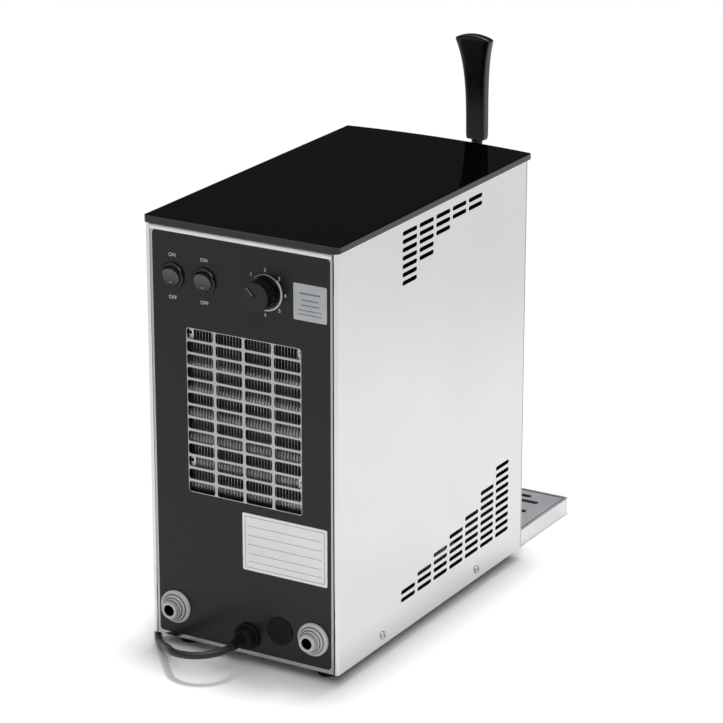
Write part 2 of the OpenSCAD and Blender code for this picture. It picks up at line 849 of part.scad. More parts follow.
// Black glass with a chamfered upper edge
module glass_top() {
    w = cab_w + 2 * glass_over;
    y0 = front_mid - glass_front;
    y1 = rear_y + glass_over;
    r = bow_r + glass_front;
    ch = glass_chamfer;
    color("#141416") translate([0, 0, top_z]) intersection() {
        linear_extrude(glass_t) intersection() {
            translate([0, (y0 + y1) / 2]) rounded(w, y1 - y0, glass_r);
            bow(r);
        }
        translate([0, y1, 0]) rotate([90, 0, 0]) linear_extrude(y1 - y0)
            polygon([
                [-w / 2, 0], [w / 2, 0], [w / 2, glass_t - ch], [w / 2 - ch, glass_t],
                [-w / 2 + ch, glass_t], [-w / 2, glass_t - ch]
            ]);
        facing_side(-w / 2, w) polygon([
            [y0, 0], [y1, 0], [y1, glass_t - ch], [y1 - ch, glass_t], [y0, glass_t]
        ]);
        translate([0, bow_y, 0]) union() {
            cylinder(r = r, h = glass_t - ch, $fn = bow_fn);
            translate([0, 0, glass_t - ch]) cylinder(r1 = r, r2 = r - ch, h = ch, $fn = bow_fn);
        }
    }
}

module rubber_feet() {
    foot_taper = 1.5;
    recess_r = 4;
    recess_h = foot_h / 2;
    color("#1c1c1c") for (x = [-1, 1], y = [front_y + foot_inset, rear_y - foot_inset])
        translate([x * (half_w - foot_inset), y, 0]) difference() {
            cylinder(r1 = foot_r - foot_taper, r2 = foot_r, h = foot_h);
            translate([0, 0, -sheet_t]) cylinder(r = recess_r, h = recess_h + sheet_t);
        }
}

module panel_screws() {
    head_h = 1.6;
    shank_l = sheet_t + seam + sheet_t + 5;
    color("lightgray") for (s = [-1, 1], d = screw_rear)
        translate([s * half_w, rear_y - d, foot_h + screw_z]) rotate([0, s * 90, 0]) {
            cylinder(r1 = screw_head_r, r2 = screw_head_r - 0.8, h = head_h);
            translate([0, 0, -shank_l]) cylinder(r = screw_r, h = shank_l);
        }
}

// Controls
module switch_housings() {
    edge = 0.7;
    color("#161616") for (x = switch_x) translate([x, 0, control_h]) difference() {
        union() {
            translate([0, foil_y, 0]) along_y() rotate_extrude() polygon([
                [0, 0], [bezel_r, 0], [bezel_r, bezel_t - edge], [bezel_r - edge, bezel_t], [0, bezel_t]
            ]);
            translate([0, foil_y - switch_l, 0]) along_y() cylinder(r = switch_r, h = switch_l);
        }
        translate([0, rocker_y - pocket_floor, 0]) along_y()
            cylinder(r = pocket_r, h = pocket_floor + bezel_t + rocker_tip);
        translate([-pocket_r - rocker_pin_l - rocker_pin_gap, rocker_y, 0]) rotate([0, 90, 0])
            cylinder(r = rocker_pin_r + running, h = 2 * (pocket_r + rocker_pin_l + rocker_pin_gap));
    }
}

// Round rocker with a hollowed face, tilted to its off position with the lower end pressed in
module rocker(x) {
    back = 1.2;
    hollow = rocker_tip - rocker_dip;
    hollow_r = (rocker_r * rocker_r + hollow * hollow) / (2 * hollow);
    translate([x, rocker_y, control_h]) rotate([-rocker_tilt, 0, 0]) {
        difference() {
            translate([0, -back, 0]) along_y() cylinder(r = rocker_r, h = back + rocker_tip);
            translate([-2 * rocker_r, rocker_dip + hollow_r, 0]) rotate([0, 90, 0])
                cylinder(r = hollow_r, h = 4 * rocker_r);
        }
        translate([-pocket_r - rocker_pin_l, 0, 0]) rotate([0, 90, 0])
            cylinder(r = rocker_pin_r, h = 2 * (pocket_r + rocker_pin_l));
    }
}

module rocker_cooling() {
    color("#202020") rocker(switch_x[0]);
}

module rocker_pump() {
    color("#202020") rocker(switch_x[1]);
}

module thermostat_body() {
    bore_l = thermo_d / 2;
    color("lightsteelblue") translate([knob_x, 0, control_h]) difference() {
        union() {
            translate([-thermo_w / 2, panel_in - thermo_d, -thermo_h / 2])
                cube([thermo_w, thermo_d, thermo_h]);
            translate([0, panel_in - sheet_t, 0]) along_y()
                cylinder(r = bushing_r, h = foil_y - panel_in + sheet_t);
        }
        translate([0, panel_in - bore_l, 0]) along_y()
            cylinder(r = spindle_r + running, h = bore_l + knob_h);
    }
}

module thermostat_spindle() {
    reach = knob_h - 4;
    inside = thermo_d / 2 - 1;
    color("silver") translate([knob_x, panel_in - inside, control_h]) along_y()
        cylinder(r = spindle_r, h = inside + foil_y - panel_in + reach);
}

// Knob with a skirt, a fluted grip and a raised pointer ridge towards the scale's first mark
module knob_outline() {
    flutes = 18;
    flute_r = 1.1;
    difference() {
        circle(knob_grip_r);
        for (i = [0 : flutes - 1]) rotate(360 * i / flutes)
            translate([knob_grip_r + flute_r / 2, 0]) circle(flute_r);
    }
}

module thermostat_knob() {
    pointer_w = 2.2;
    pointer_t = 0.7;
    first_mark = 135;
    bore_l = knob_h - 3;
    color("#191919") translate([knob_x, foil_y + knob_gap, control_h]) difference() {
        union() {
            along_y() cylinder(r1 = knob_r, r2 = knob_r - 0.8, h = knob_skirt_h);
            translate([0, knob_h, 0]) rotate([90, 0, 0])
                linear_extrude(knob_h - knob_skirt_h + 1) knob_outline();
            rotate([0, first_mark, 0])
                translate([-knob_grip_r + 1.5, knob_h - 1, -pointer_w / 2])
                    cube([knob_grip_r - 1.5, pointer_t + 1, pointer_w]);
        }
        translate([0, -knob_gap, 0]) along_y() cylinder(r = spindle_r + running, h = bore_l + knob_gap);
    }
}

// Push-fit unions
module union_body() {
    seat = foil_y - panel_in;
    mouth = rear_y + union_out - panel_in;
    edge = 0.8;
    difference() {
        rotate_extrude() polygon([
            [0, -union_in], [union_r, -union_in], [union_r, seat], [union_flange_r, seat],
            [union_flange_r, seat + union_flange_t - edge], [union_flange_r - edge, seat + union_flange_t],
            [union_step_r, seat + union_flange_t + edge], [union_step_r, seat + union_step_t - edge],
            [union_step_r - edge, seat + union_step_t], [union_nose_r, seat + union_step_t],
            [union_nose_r, mouth - edge], [union_nose_r - edge, mouth], [0, mouth]
        ]);
        translate([0, 0, -union_in - 1]) cylinder(r = tube_r, h = union_in + mouth + 2);
        translate([0, 0, mouth - collet_bore]) cylinder(r = collet_r + easy, h = collet_bore + 1);
    }
}

module bulkhead_unions() {
    color("#a9acae") for (x = [-union_x, union_x])
        translate([x, panel_in, union_h]) along_y() union_body();
}

module union_nuts() {
    color("#8d9092") for (x = [-union_x, union_x])
        translate([x, panel_in - nut_t, union_h]) along_y() difference() {
            cylinder(r = union_r + nut_over, h = nut_t, $fn = 6);
            translate([0, 0, -1]) cylinder(r = union_r + running, h = nut_t + 2);
        }
}

module collet(x) {
    color("#b9bcbe") translate([x, collet_y, union_h]) along_y() difference() {
        union() {
            cylinder(r = collet_flange_r, h = collet_flange_t);
            translate([0, 0, -collet_l]) cylinder(r = collet_r, h = collet_l);
        }
        translate([0, 0, -collet_l - 1]) cylinder(r = tube_r, h = collet_l + collet_flange_t + 2);
    }
}

module collet_drink() {
    collet(-union_x);
}

module collet_air() {
    collet(union_x);
}

module blanking_plug() {
    skirt = 6;
    color("#1a1a1a") translate([plug_x, foil_y, union_h]) along_y() {
        cylinder(r = plug_r, h = plug_t);
        translate([0, 0, -skirt]) cylinder(r = plug_r - 2 - hole_gap, h = skirt);
    }
}

module cable_gland() {
    body_r = gland_flange_r - 2;
    dome_h = 10.6;
    tip_h = rear_y + gland_out - panel_in;
    base_h = foil_y - panel_in;
    color("#151515") translate([gland_x, panel_in, gland_h]) along_y() rotate_extrude() polygon([
        [0, -gland_in], [gland_r, -gland_in], [gland_r, base_h], [gland_flange_r, base_h],
        [gland_flange_r, base_h + gland_flange_t - 0.6], [gland_flange_r - 0.6, base_h + gland_flange_t],
        [body_r, base_h + gland_flange_t], [body_r - 0.2, base_h + dome_h - 4],
        [body_r - 1, base_h + dome_h - 1.6], [body_r - 2.6, base_h + dome_h - 0.4],
        [gland_tip_r + 0.5, base_h + dome_h], [gland_tip_r, base_h + dome_h + 0.4],
        [cord_r + 0.6, tip_h], [0, tip_h]
    ]);
}

module gland_nut() {
    color("#222222") translate([gland_x, panel_in - nut_t, gland_h]) along_y() difference() {
        cylinder(r = gland_r + nut_over, h = nut_t, $fn = 6);
        translate([0, 0, -1]) cylinder(r = gland_r + running, h = nut_t + 2);
    }
}

// Tap
module tap_shank() {
    y0 = tap_y + barrel_l;
    color("silver") translate([0, y0, tap_z]) along_y() difference() {
        cylinder(r = shank_r, h = front_mid + shank_in - y0);
        translate([0, 0, -1]) cylinder(r = shank_bore_r, h = front_mid + shank_in - y0 + 2);
    }
}

module shank_escutcheon() {
    lip = 1.5;
    y0 = front_mid - escutcheon_gap - escutcheon_t;
    color("silver") translate([0, y0, tap_z]) along_y() rotate_extrude() polygon([
        [shank_r + running, 0], [coupling_r - 2, 0], [escutcheon_r, escutcheon_t - lip],
        [escutcheon_r, escutcheon_t], [shank_r + running, escutcheon_t]
    ]);
}

module shank_nut() {
    color("#c8b070") translate([0, front_mid + sheet_t + panel_curve_gap, tap_z]) along_y() difference() {
        cylinder(r = shank_r + nut_over + 2, h = nut_t, $fn = 6);
        translate([0, 0, -1]) cylinder(r = shank_r + running, h = nut_t + 2);
    }
}

// Ring that clamps the barrel's lug to the shank, with spanner notches
module coupling_nut() {
    notches = 6;
    notch_w = 4;
    notch_d = 2;
    lug_front = barrel_l - lug_t - easy - coupling_front;
    lug_back = barrel_l + easy - coupling_front;
    color("silver") translate([0, tap_y + coupling_front, tap_z]) along_y() difference() {
        rotate_extrude() polygon([
            [barrel_r + easy, 0], [coupling_r - 1, 0], [coupling_r, 1], [coupling_r, coupling_l - 1],
            [coupling_r - 1, coupling_l], [shank_r + running, coupling_l], [shank_r + running, lug_back],
            [lug_r + easy, lug_back], [lug_r + easy, lug_front], [barrel_r + easy, lug_front]
        ]);
        for (i = [0 : notches - 1]) rotate(360 * i / notches)
            translate([coupling_r - notch_d, -notch_w / 2, -1]) cube([notch_d + 1, notch_w, coupling_l + 2]);
    }
}

module tap_body() {
    bore_front = 10;
    upper = 10;
    color("silver") difference() {
        union() {
            translate([0, tap_y, tap_z - head_drop]) cylinder(r = head_r, h = head_drop + pivot_up);
            translate([0, tap_y, tap_z]) along_y() cylinder(r = barrel_r, h = barrel_l);
            translate([0, tap_y + barrel_l - lug_t, tap_z]) along_y() cylinder(r = lug_r, h = lug_t);
        }
        translate([0, tap_y - bore_front, tap_z]) along_y()
            cylinder(r = slide_bore_r, h = bore_front + barrel_l);
        translate([0, tap_y + seat_y, tap_z]) along_y() cylinder(r = barrel_bore_r, h = barrel_l);
        translate([-lever_slot, tap_y - lever_slot, tap_z])
            cube([2 * lever_slot, lever_slot + tip_travel + tip_r + 1, upper]);
        translate([-lever_slot, tap_y - lever_slot, tap_z])
            cube([2 * lever_slot, lever_slot + tip_travel, pivot_up + 1]);
        translate([0, tap_y, pivot_z]) sphere(r = ball_r + ball_gap);
        translate([0, tap_y, tap_z - head_drop - 1]) cylinder(r = spout_bore_r, h = head_drop + 1);
        translate([0, tap_y + flow_y, tap_z]) rotate([0, 90, 0])
            cylinder(r = flow_r + running, h = barrel_r + 1);
    }
}

module tap_spout() {
    top_r = 10;
    neck_r = 8;
    mouth_r = spout_bore_r + 2.2;
    flange_t = 4;
    color("silver") translate([0, tap_y, tap_z - head_drop]) difference() {
        rotate_extrude() polygon([
            [0, 0], [top_r + 2, 0], [top_r + 2, -flange_t], [top_r, -flange_t - 1],
            [neck_r, -flange_t - 9], [mouth_r, -spout_l], [0, -spout_l]
        ]);
        translate([0, 0, -spout_l - 1]) cylinder(r = spout_bore_r, h = spout_l + 2);
    }
}

// Collar over the ball, open towards the front for the lever's swing
module tap_collar() {
    rim_r = head_r - 1;
    color("silver") translate([0, tap_y, pivot_z]) difference() {
        rotate_extrude() polygon([
            [0, 0], [rim_r, 0], [rim_r, collar_h - 4], [rim_r - 4, collar_h], [0, collar_h]
        ]);
        sphere(r = ball_r + ball_gap);
        cylinder(r = stem_r + 0.8, h = collar_h + 1);
        translate([-stem_r - 0.8, -head_r, stem_r - 1]) cube([2 * stem_r + 1.6, head_r, collar_h]);
    }
}

module tap_lever() {
    color("silver") translate([0, tap_y, pivot_z]) {
        sphere(r = ball_r);
        translate([0, 0, -pivot_up]) cylinder(r = arm_r, h = pivot_up);
        translate([0, 0, -pivot_up]) sphere(r = tip_r);
        cylinder(r = stem_r, h = handle_z - pivot_z + handle_socket);
    }
}

// Handle: rounded-square sections that flare to the top and lean back
function handle_flare(t) = handle_w / 2 + (handle_top_w - handle_w) / 2 * pow(t, 3.6);
function handle_end(t) =
    t < handle_foot ? 0.82 + 0.18 * sin(90 * t / handle_foot) :
    t > 1 - handle_dome ? sqrt(1 - pow((t - 1 + handle_dome) / (1.13 * handle_dome), 2)) : 1;
function handle_level(i) = 0.5 - 0.5 * cos(180 * i / (handle_rings - 1));
function square_round(a) = pow(abs(a), 0.42) * sign(a);
function handle_ring(t) =
    let (e = handle_end(t), w = handle_flare(t) * (0.75 + 0.25 * e), d = handle_d / 2 * e)
    [for (k = [0 : handle_sides - 1]) [
        w * square_round(cos(360 * (k + 0.5) / handle_sides)),
        handle_lean * t * t + d * square_round(sin(360 * (k + 0.5) / handle_sides)),
        handle_h * t - handle_arc * pow(max(0, t - 0.6) / 0.4, 2)
            * pow(square_round(cos(360 * (k + 0.5) / handle_sides)), 2)
    ]];

module handle_blank() {
    n = handle_rings;
    s = handle_sides;
    points = [for (i = [0 : n - 1]) each handle_ring(handle_level(i))];
    walls = [
        for (i = [0 : n - 2], k = [0 : s - 1])
            let (a = i * s + k, b = i * s + (k + 1) % s)
            each [[a, b + s, b], [a, a + s, b + s]]
    ];
    low = [for (k = [1 : s - 2]) [0, k, k + 1]];
    high = [
        for (k = [0 : s / 2 - 2])
            let (b = (n - 1) * s)
            each [[b + k, b + s - 2 - k, b + k + 1], [b + k, b + s - 1 - k, b + s - 2 - k]]
    ];
    polyhedron(points, concat(walls, low, high));
}

module tap_handle() {
    color("#1b1b1b") translate([0, tap_y, handle_z]) difference() {
        union() {
            handle_blank();
            translate([0, 0, -handle_neck])
                cylinder(r1 = stem_r + 0.7, r2 = stem_r + 1, h = handle_neck + 1);
        }
        translate([0, 0, -handle_neck - 1])
            cylinder(r = stem_r + running, h = handle_neck + handle_socket + 1.3);
    }
}

module tap_plunger() {
    block_r = slide_bore_r - plunger_gap;
    floor_drop = tip_r + 0.7;
    color("gold") translate([0, tap_y, tap_z]) {
        difference() {
            translate([0, -block_l / 2, 0]) along_y() cylinder(r = block_r, h = block_l);
            translate([-block_r - 1, -block_slot / 2, -floor_drop])
                cube([2 * block_r + 2, block_slot, floor_drop + block_r + 1]);
        }
        translate([0, block_l / 2, 0]) along_y()
            cylinder(r = plunger_rod_r, h = seat_y + easy - block_l / 2);
        translate([0, seat_y + easy, 0]) along_y() cylinder(r = disc_r, h = disc_t);
    }
}

module flow_lever() {
    pin_from = -3;
    shaft_from = barrel_bore_r - 2.5;
    hub_x = barrel_r + 0.4;
    arm_h = 5;
    knob_end_r = 3.6;
    color("silver") translate([0, tap_y + flow_y, tap_z]) {
        translate([shaft_from, 0, 0]) rotate([0, 90, 0])
            cylinder(r = flow_r, h = hub_x + flow_hub_l - shaft_from);
        translate([pin_from, flow_ecc * sin(flow_rest), flow_ecc * cos(flow_rest)]) rotate([0, 90, 0])
            cylinder(r = flow_pin_r, h = shaft_from + 0.5 - pin_from);
        translate([hub_x, 0, 0]) rotate([0, 90, 0]) cylinder(r = flow_hub_r, h = flow_hub_l);
        translate([hub_x + 1, -flow_l, -arm_h / 2]) cube([flow_hub_l - 2, flow_l, arm_h]);
        translate([hub_x, -flow_l, 0]) rotate([0, 90, 0]) cylinder(r = knob_end_r, h = flow_hub_l);
    }
}

// Cone that throttles the flow, notched for the lever's eccentric pin
module flow_cone() {
    slot = 2 * flow_pin_r + 0.7;
    nose_r = 2.4;
    tail_r = barrel_bore_r - 3.1;
    color("gold") translate([0, tap_y + cone_y, tap_z]) difference() {
        translate([0, -cone_l / 2, 0]) along_y() cylinder(r1 = nose_r, r2 = tail_r, h = cone_l);
        translate([-barrel_bore_r, -slot / 2, 0.2]) cube([2 * barrel_bore_r, slot, barrel_bore_r]);
    }
}

// Drip tray
module drip_tray() {
    color("silver") translate([0, tray_y, 0]) difference() {
        linear_extrude(tray_h) rounded(tray_w, tray_d, tray_r);
        translate([0, 0, tray_t]) linear_extrude(tray_h)
            rounded(tray_w - 2 * tray_rim, tray_d - 2 * tray_rim, tray_r - tray_rim);
    }
}

// Grid on folded legs, with rows of three long and two short slots in turn
module grid_row(reach, count) {
    l = (2 * reach - (count - 1) * grid_web) / count;
    for (i = [0 : count - 1])
        translate([-reach + l / 2 + i * (l + grid_web), 0]) stadium(l, grid_slot_h);
}

module drip_grid() {
    row0 = -(grid_rows - 1) / 2 * grid_pitch;
    color("darkgray") translate([0, tray_y, grid_top - grid_t]) linear_extrude(grid_t) difference() {
        rounded(grid_w, grid_d, tray_r - tray_rim - grid_gap / 2);
        for (i = [0 : grid_rows - 1]) translate([0, row0 + i * grid_pitch])
            if (i % 2 == 0) grid_row(grid_short, 2);
            else grid_row(grid_long, 3);
    }
}

// Two rails under the grid, which stand on the tray's floor
module grid_rails() {
    inset = 4;
    color("darkgray") for (s = [-1, 1])
        translate([s * (grid_w / 2 - inset) - grid_t / 2, tray_y - grid_d / 2 + inset, tray_t])
            cube([grid_t, grid_d - 2 * inset, grid_top - grid_t - tray_t - running]);
}

// Cooling system
module condenser_fins() {
    count = floor((cond_w - 2 * cond_side) / fin_pitch);
    color("lightgray") for (i = [0 : count])
        facing_side(grille_x + (i - count / 2) * fin_pitch - fin_t / 2, fin_t) difference() {
            translate([cond_y - cond_d, grille_mid_z - cond_h / 2]) square([cond_d, cond_h]);
            for (k = [0 : cond_passes - 1])
                translate([cond_tube_y, cond_low_z + k * cond_pitch]) circle(cond_tube_r + running);
        }
}

module condenser_tube() {
    color("peru") {
        for (i = [0 : cond_passes - 1])
            translate([cond_end_x, cond_tube_y, cond_low_z + i * cond_pitch]) rotate([0, 90, 0])
                cylinder(r = cond_tube_r, h = cond_run);
        for (i = [0 : cond_passes - 2]) {
            s = i % 2 == 0 ? 1 : -1;
            translate([
                grille_x + s * cond_run / 2, cond_tube_y,
                cond_low_z + (i + 0.5) * cond_pitch
            ]) rotate([90, 0, 0]) rotate([0, 0, s > 0 ? -90 : 90]) rotate_extrude(angle = 180)
                translate([cond_pitch / 2, 0]) circle(cond_tube_r);
        }
    }
}

// Plate that stands on the base, with the fan's duct
module fan_shroud() {
    opening = fan_r + fan_gap;
    leg_top = grille_mid_z - cond_h / 2 + 10;
    color("gray") {
        difference() {
            union() {
                facing_rear(shroud_y, shroud_t) {
                    translate([grille_x, grille_mid_z]) square([cond_w + 4, cond_h], center = true);
                    translate([grille_x - shroud_leg_w / 2, floor_z])
                        square([shroud_leg_w, leg_top - floor_z]);
                }
                translate([grille_x, shroud_y - shroud_t - duct_l, grille_mid_z]) along_y()
                    cylinder(r = opening + duct_t, h = duct_l + shroud_t / 2);
            }
            translate([grille_x, shroud_y - shroud_t - duct_l - 1, grille_mid_z]) along_y()
                cylinder(r = opening, h = duct_l + 2 * shroud_t + 2);
        }
        translate([grille_x - shroud_leg_w / 2, shroud_y - shroud_t - shroud_foot, floor_z])
            cube([shroud_leg_w, shroud_foot + shroud_t / 2, sheet_t]);
    }
}

// Motor on three arms that reach the duct's rim
module fan_motor() {
    rim = fan_r + fan_gap + duct_t;
    arm_y = shroud_y - shroud_t - duct_l;
    color("dimgray") translate([grille_x, 0, grille_mid_z]) {
        translate([0, motor_front - motor_l, 0]) along_y() {
            cylinder(r = motor_r, h = motor_l);
            cylinder(r = shaft_r, h = motor_l + shaft_l);
        }
        for (a = [90, 210, 330]) rotate([0, a, 0])
            translate([0, arm_y - 2, -arm_w / 2]) cube([rim, 2, arm_w]);
    }
}

module fan_rotor() {
    blade_t = 1.5;
    blade_angle = 28;
    color("whitesmoke") translate([grille_x, fan_y, grille_mid_z]) {
        translate([0, -fan_l / 2 - hub_back, 0]) along_y() difference() {
            cylinder(r = hub_r, h = fan_l + hub_back);
            translate([0, 0, -1]) cylinder(r = shaft_r + running, h = shaft_l + 1);
        }
        intersection() {
            translate([0, -fan_l / 2, 0]) along_y() cylinder(r = fan_r, h = fan_l);
            for (i = [0 : fan_blades - 1]) rotate([0, 360 * i / fan_blades, 0]) rotate([blade_angle, 0, 0])
                translate([hub_r - 2, -blade_t / 2, -fan_r / 3]) cube([fan_r, blade_t, fan_r * 2 / 3]);
        }
    }
}

module compressor() {
    seam_r = comp_r + comp_seam;
    seam_z = comp_h - comp_cap;
    dome = 22;
    color("#2a2a2c") translate([0, comp_y, comp_z]) difference() {
        union() {
            translate([-comp_r, -comp_r, 0]) cube([2 * comp_r, 2 * comp_r, plate_t]);
            rotate_extrude() polygon([
                [0, plate_t / 2], [comp_r - dome, plate_t / 2], [comp_r - 6, dome / 2], [comp_r, dome],
                [comp_r, seam_z], [seam_r, seam_z], [seam_r, seam_z + 3], [comp_r, seam_z + 3],
                [comp_r - 1, comp_h - dome], [comp_r - 8, comp_h - dome / 3],
                [comp_r - dome, comp_h], [0, comp_h]
            ]);
            for (x = [-1, 1]) translate([x * comp_r / 2, 0, comp_h - 2])
                cylinder(r = pipe_r + 1.2, h = stub_l + 2);
        }
        for (x = [-1, 1]) translate([x * comp_r / 2, 0, comp_h])
            cylinder(r = pipe_r + running, h = stub_l + 1);
        for (x = [-1, 1], y = [-1, 1]) translate([x * grommet_x, y * grommet_x, -1])
            cylinder(r = 4 + running, h = plate_t + 2);
    }
}

module compressor_grommets() {
    color("#1c1c1c") for (x = [-1, 1], y = [-1, 1])
        translate([x * grommet_x, comp_y + y * grommet_x, floor_z]) {
            cylinder(r = 8, h = grommet_h);
            cylinder(r = 4, h = grommet_h + plate_t);
            translate([0, 0, grommet_h + plate_t]) cylinder(r = 6, h = 2);
        }
}

module insulation() {
    pocket_x = insul_w - 2 * insul_t;
    pocket_y = insul_d - 2 * insul_t;
    color("#e6dcc0") translate([0, insul_y, floor_z]) difference() {
        translate([-insul_w / 2, -insul_d / 2, 0]) cube([insul_w, insul_d, insul_h]);
        translate([-pocket_x / 2, -pocket_y / 2, insul_t]) cube([pocket_x, pocket_y, insul_h - 2 * insul_t]);
        translate([0, -insul_d / 2 - 1, tap_z - floor_z]) along_y()
            cylinder(r = shank_r + easy, h = insul_t + 2);
        translate([-union_x, insul_d / 2 - insul_t, line_z - floor_z]) along_y()
            cylinder(r = line_r + easy, h = 2 * insul_t);
        translate([comp_r / 2, 0, suction_z - floor_z]) along_y() cylinder(r = pipe_r + easy, h = insul_d);
        translate([liquid_x, 0, cond_low_z - floor_z]) along_y() cylinder(r = pipe_r + easy, h = insul_d);
    }
}

module cooling_block() {
    block_x = insul_w - 2 * (insul_t + block_gap);
    block_y = insul_d - 2 * (insul_t + block_gap);
    port_l = front_mid + shank_in - (insul_y - block_y / 2);
    color("lightgray") translate([0, insul_y, floor_z + insul_t]) difference() {
        translate([-block_x / 2, -block_y / 2, 0])
            cube([block_x, block_y, insul_h - 2 * insul_t - block_gap]);
        translate([0, -block_y / 2 - 1, tap_z - floor_z - insul_t]) along_y()
            cylinder(r = shank_r + easy, h = port_l + 1.3);
    }
}

module drink_line() {
    y0 = insul_back - insul_t;
    y1 = panel_in - union_in + line_in;
    color("lightblue") translate([-union_x, y0, line_z]) along_y() difference() {
        cylinder(r = line_r, h = y1 - y0);
        translate([0, 0, -1]) cylinder(r = line_r - line_wall, h = y1 - y0 + 2);
    }
}

// Moves a shape to a point, with its x and y axes turned to u and v
module turned(at, u, v) {
    w = cross(u, v);
    multmatrix([
        [u.x, v.x, w.x, at.x], [u.y, v.y, w.y, at.y], [u.z, v.z, w.z, at.z], [0, 0, 0, 1]
    ]) children();
}

// Pipe with straight runs between points and round square bends at them
module pipe(p, r, bend) {
    last = len(p) - 1;
    for (i = [0 : last - 1]) {
        d = unit(p[i + 1] - p[i]);
        start = p[i] + d * (i == 0 ? 0 : bend);
        end = p[i + 1] - d * (i == last - 1 ? 0 : bend);
        turned(start, side_of(d), cross(d, side_of(d))) cylinder(r = r, h = norm(end - start));
    }
    for (i = [1 : last - 1]) {
        a = unit(p[i] - p[i - 1]);
        b = unit(p[i + 1] - p[i]);
        turned(p[i] + (b - a) * bend, -b, a) rotate_extrude(angle = 90) translate([bend, 0]) circle(r);
    }
}

// From the evaporator in the block back to the compressor
module suction_line() {
    color("peru") pipe([
        [comp_r / 2, comp_y, stub_z],
        [comp_r / 2, comp_y, suction_z],
        [comp_r / 2, insul_back - insul_t, suction_z]
    ], pipe_r, pipe_bend);
}

// From the compressor over the fan plate to the condenser's upper end
module discharge_line() {
    over = 6.8;
    top = grille_mid_z + cond_h / 2 + over + pipe_r;
    out_x = cond_end_x - pipe_bend - 2;
    color("peru") pipe([
        [-comp_r / 2, comp_y, stub_z],
        [-comp_r / 2, comp_y, top],
        [-comp_r / 2, cond_tube_y, top],
        [out_x, cond_tube_y, top],
        [out_x, cond_tube_y, cond_top_z],
        [cond_end_x, cond_tube_y, cond_top_z]
    ], pipe_r, pipe_bend);
}

// From the condenser's lower end through the drier to the block
module liquid_line() {
    out_x = cond_end_x - pipe_bend - 2;
    turn_y = insul_back + pipe_bend + 1;
    drier_l = 60;
    color("peru") {
        pipe([
            [cond_end_x, cond_tube_y, cond_low_z],
            [out_x, cond_tube_y, cond_low_z],
            [out_x, turn_y, cond_low_z],
            [liquid_x, turn_y, cond_low_z],
            [liquid_x, insul_back - insul_t, cond_low_z]
        ], pipe_r, pipe_bend);
        translate([out_x, comp_y, cond_low_z]) along_y() rotate_extrude() polygon([
            [0, 0], [pipe_r + 1, 0], [drier_r, 8], [drier_r, drier_l - 8], [pipe_r + 1, drier_l], [0, drier_l]
        ]);
    }
}

module air_pump() {
    head_r = 12;
    head_h = 10;
    color("slategray") translate([0, pump_y, floor_z]) {
        translate([-pump_l / 2, -pump_d / 2, pump_foot]) cube([pump_l, pump_d, pump_h]);
        translate([-pump_l / 4, 0, pump_foot + pump_h - 1]) cylinder(r = head_r, h = head_h);
        for (x = [-1, 1], y = [-1, 1])
            translate([x * (pump_l / 2 - 8), y * (pump_d / 2 - 7), 0]) cylinder(r = 4, h = pump_foot + 1);
    }
}

// Hose from the pump's outlet to the air union
module air_hose() {
    hose_bend = 14;
    color("ghostwhite") pipe([
        [pump_l / 2, pump_y, line_z],
        [union_x, pump_y, line_z],
        [union_x, panel_in - union_in + line_in, line_z]
    ], line_r, hose_bend);
}

// Mains lead
module mains_cord() {
    joint = [coil_points[0]];
    route = smooth(concat(cord_points, joint), cord_steps);
    color("#171717") tube(route, cord_r, cord_sides, [0, 1, 0], [0, -1, 0]);
}

module cord_coil() {
    color("#171717") tube(coil_points, cord_r, coil_sides, [0, -1, 0], [0, -1, 0]);
}

module cord_tail() {
    color("#171717") tube(tail_points, cord_r, cord_sides, [0, -1, 0], [0, -1, 0]);
}

module cord_tie() {
    inner = coil_in_r + coil_pitch / 4 - cord_r - 1;
    outer = coil_in_r + coil_pitch * (coil_turns - 0.75) + cord_r + 0.5;
    high = coil_z + coil_lift + cord_r + 0.4;
    color("#262626") translate([coil_x - tie_w / 2, coil_y, 0]) difference() {
        translate([0, inner - tie_t, 0]) cube([tie_w, outer - inner + 2 * tie_t, high + tie_t]);
        translate([-1, inner, tie_t]) cube([tie_w + 2, outer - inner, high - tie_t]);
    }
}

module mains_plug() {
    neck = cord_r + 2;
    grip_r = plug_face_r - 5;
    color("#1a1a1a") translate([coil_end_x, plug_y, plug_z]) rotate([90, 0, 0]) rotate_extrude() polygon([
        [0, 0], [neck, 0], [neck + 1.5, 12], [grip_r, 17], [grip_r - 1, plug_l - 14],
        [plug_face_r - 1, plug_l - 9], [plug_face_r, plug_l - 8], [plug_face_r, plug_l], [0, plug_l]
    ]);
}

module plug_pins() {
    spacing = 19;
    color("silver") for (s = [-1, 1])
        translate([coil_end_x + s * spacing / 2, plug_y - plug_l, plug_z]) rotate([90, 0, 0]) {
            cylinder(r = pin_r, h = pin_l - 1);
            translate([0, 0, pin_l - 1]) cylinder(r1 = pin_r, r2 = pin_r - 0.8, h = 1);
        }
}

side_panel_left();
side_panel_right();
rear_panel();
rear_foil();
rear_trim();
front_panel();
base_pan();
top_panel();
glass_top();
rubber_feet();
panel_screws();
switch_housings();
rocker_cooling();
rocker_pump();
thermostat_body();
thermostat_spindle();
thermostat_knob();
bulkhead_unions();
union_nuts();
collet_drink();
collet_air();
blanking_plug();
cable_gland();
gland_nut();
tap_shank();
shank_escutcheon();
shank_nut();
coupling_nut();
tap_body();
tap_spout();
tap_collar();
tap_lever();
tap_handle();
tap_plunger();
flow_lever();
flow_cone();
drip_tray();
drip_grid();
grid_rails();
condenser_fins();
condenser_tube();
fan_shroud();
fan_motor();
fan_rotor();
compressor();
compressor_grommets();
insulation();
cooling_block();
drink_line();
suction_line();
discharge_line();
liquid_line();
air_pump();
air_hose();
mains_cord();
cord_coil();
cord_tail();
cord_tie();
mains_plug();
plug_pins();
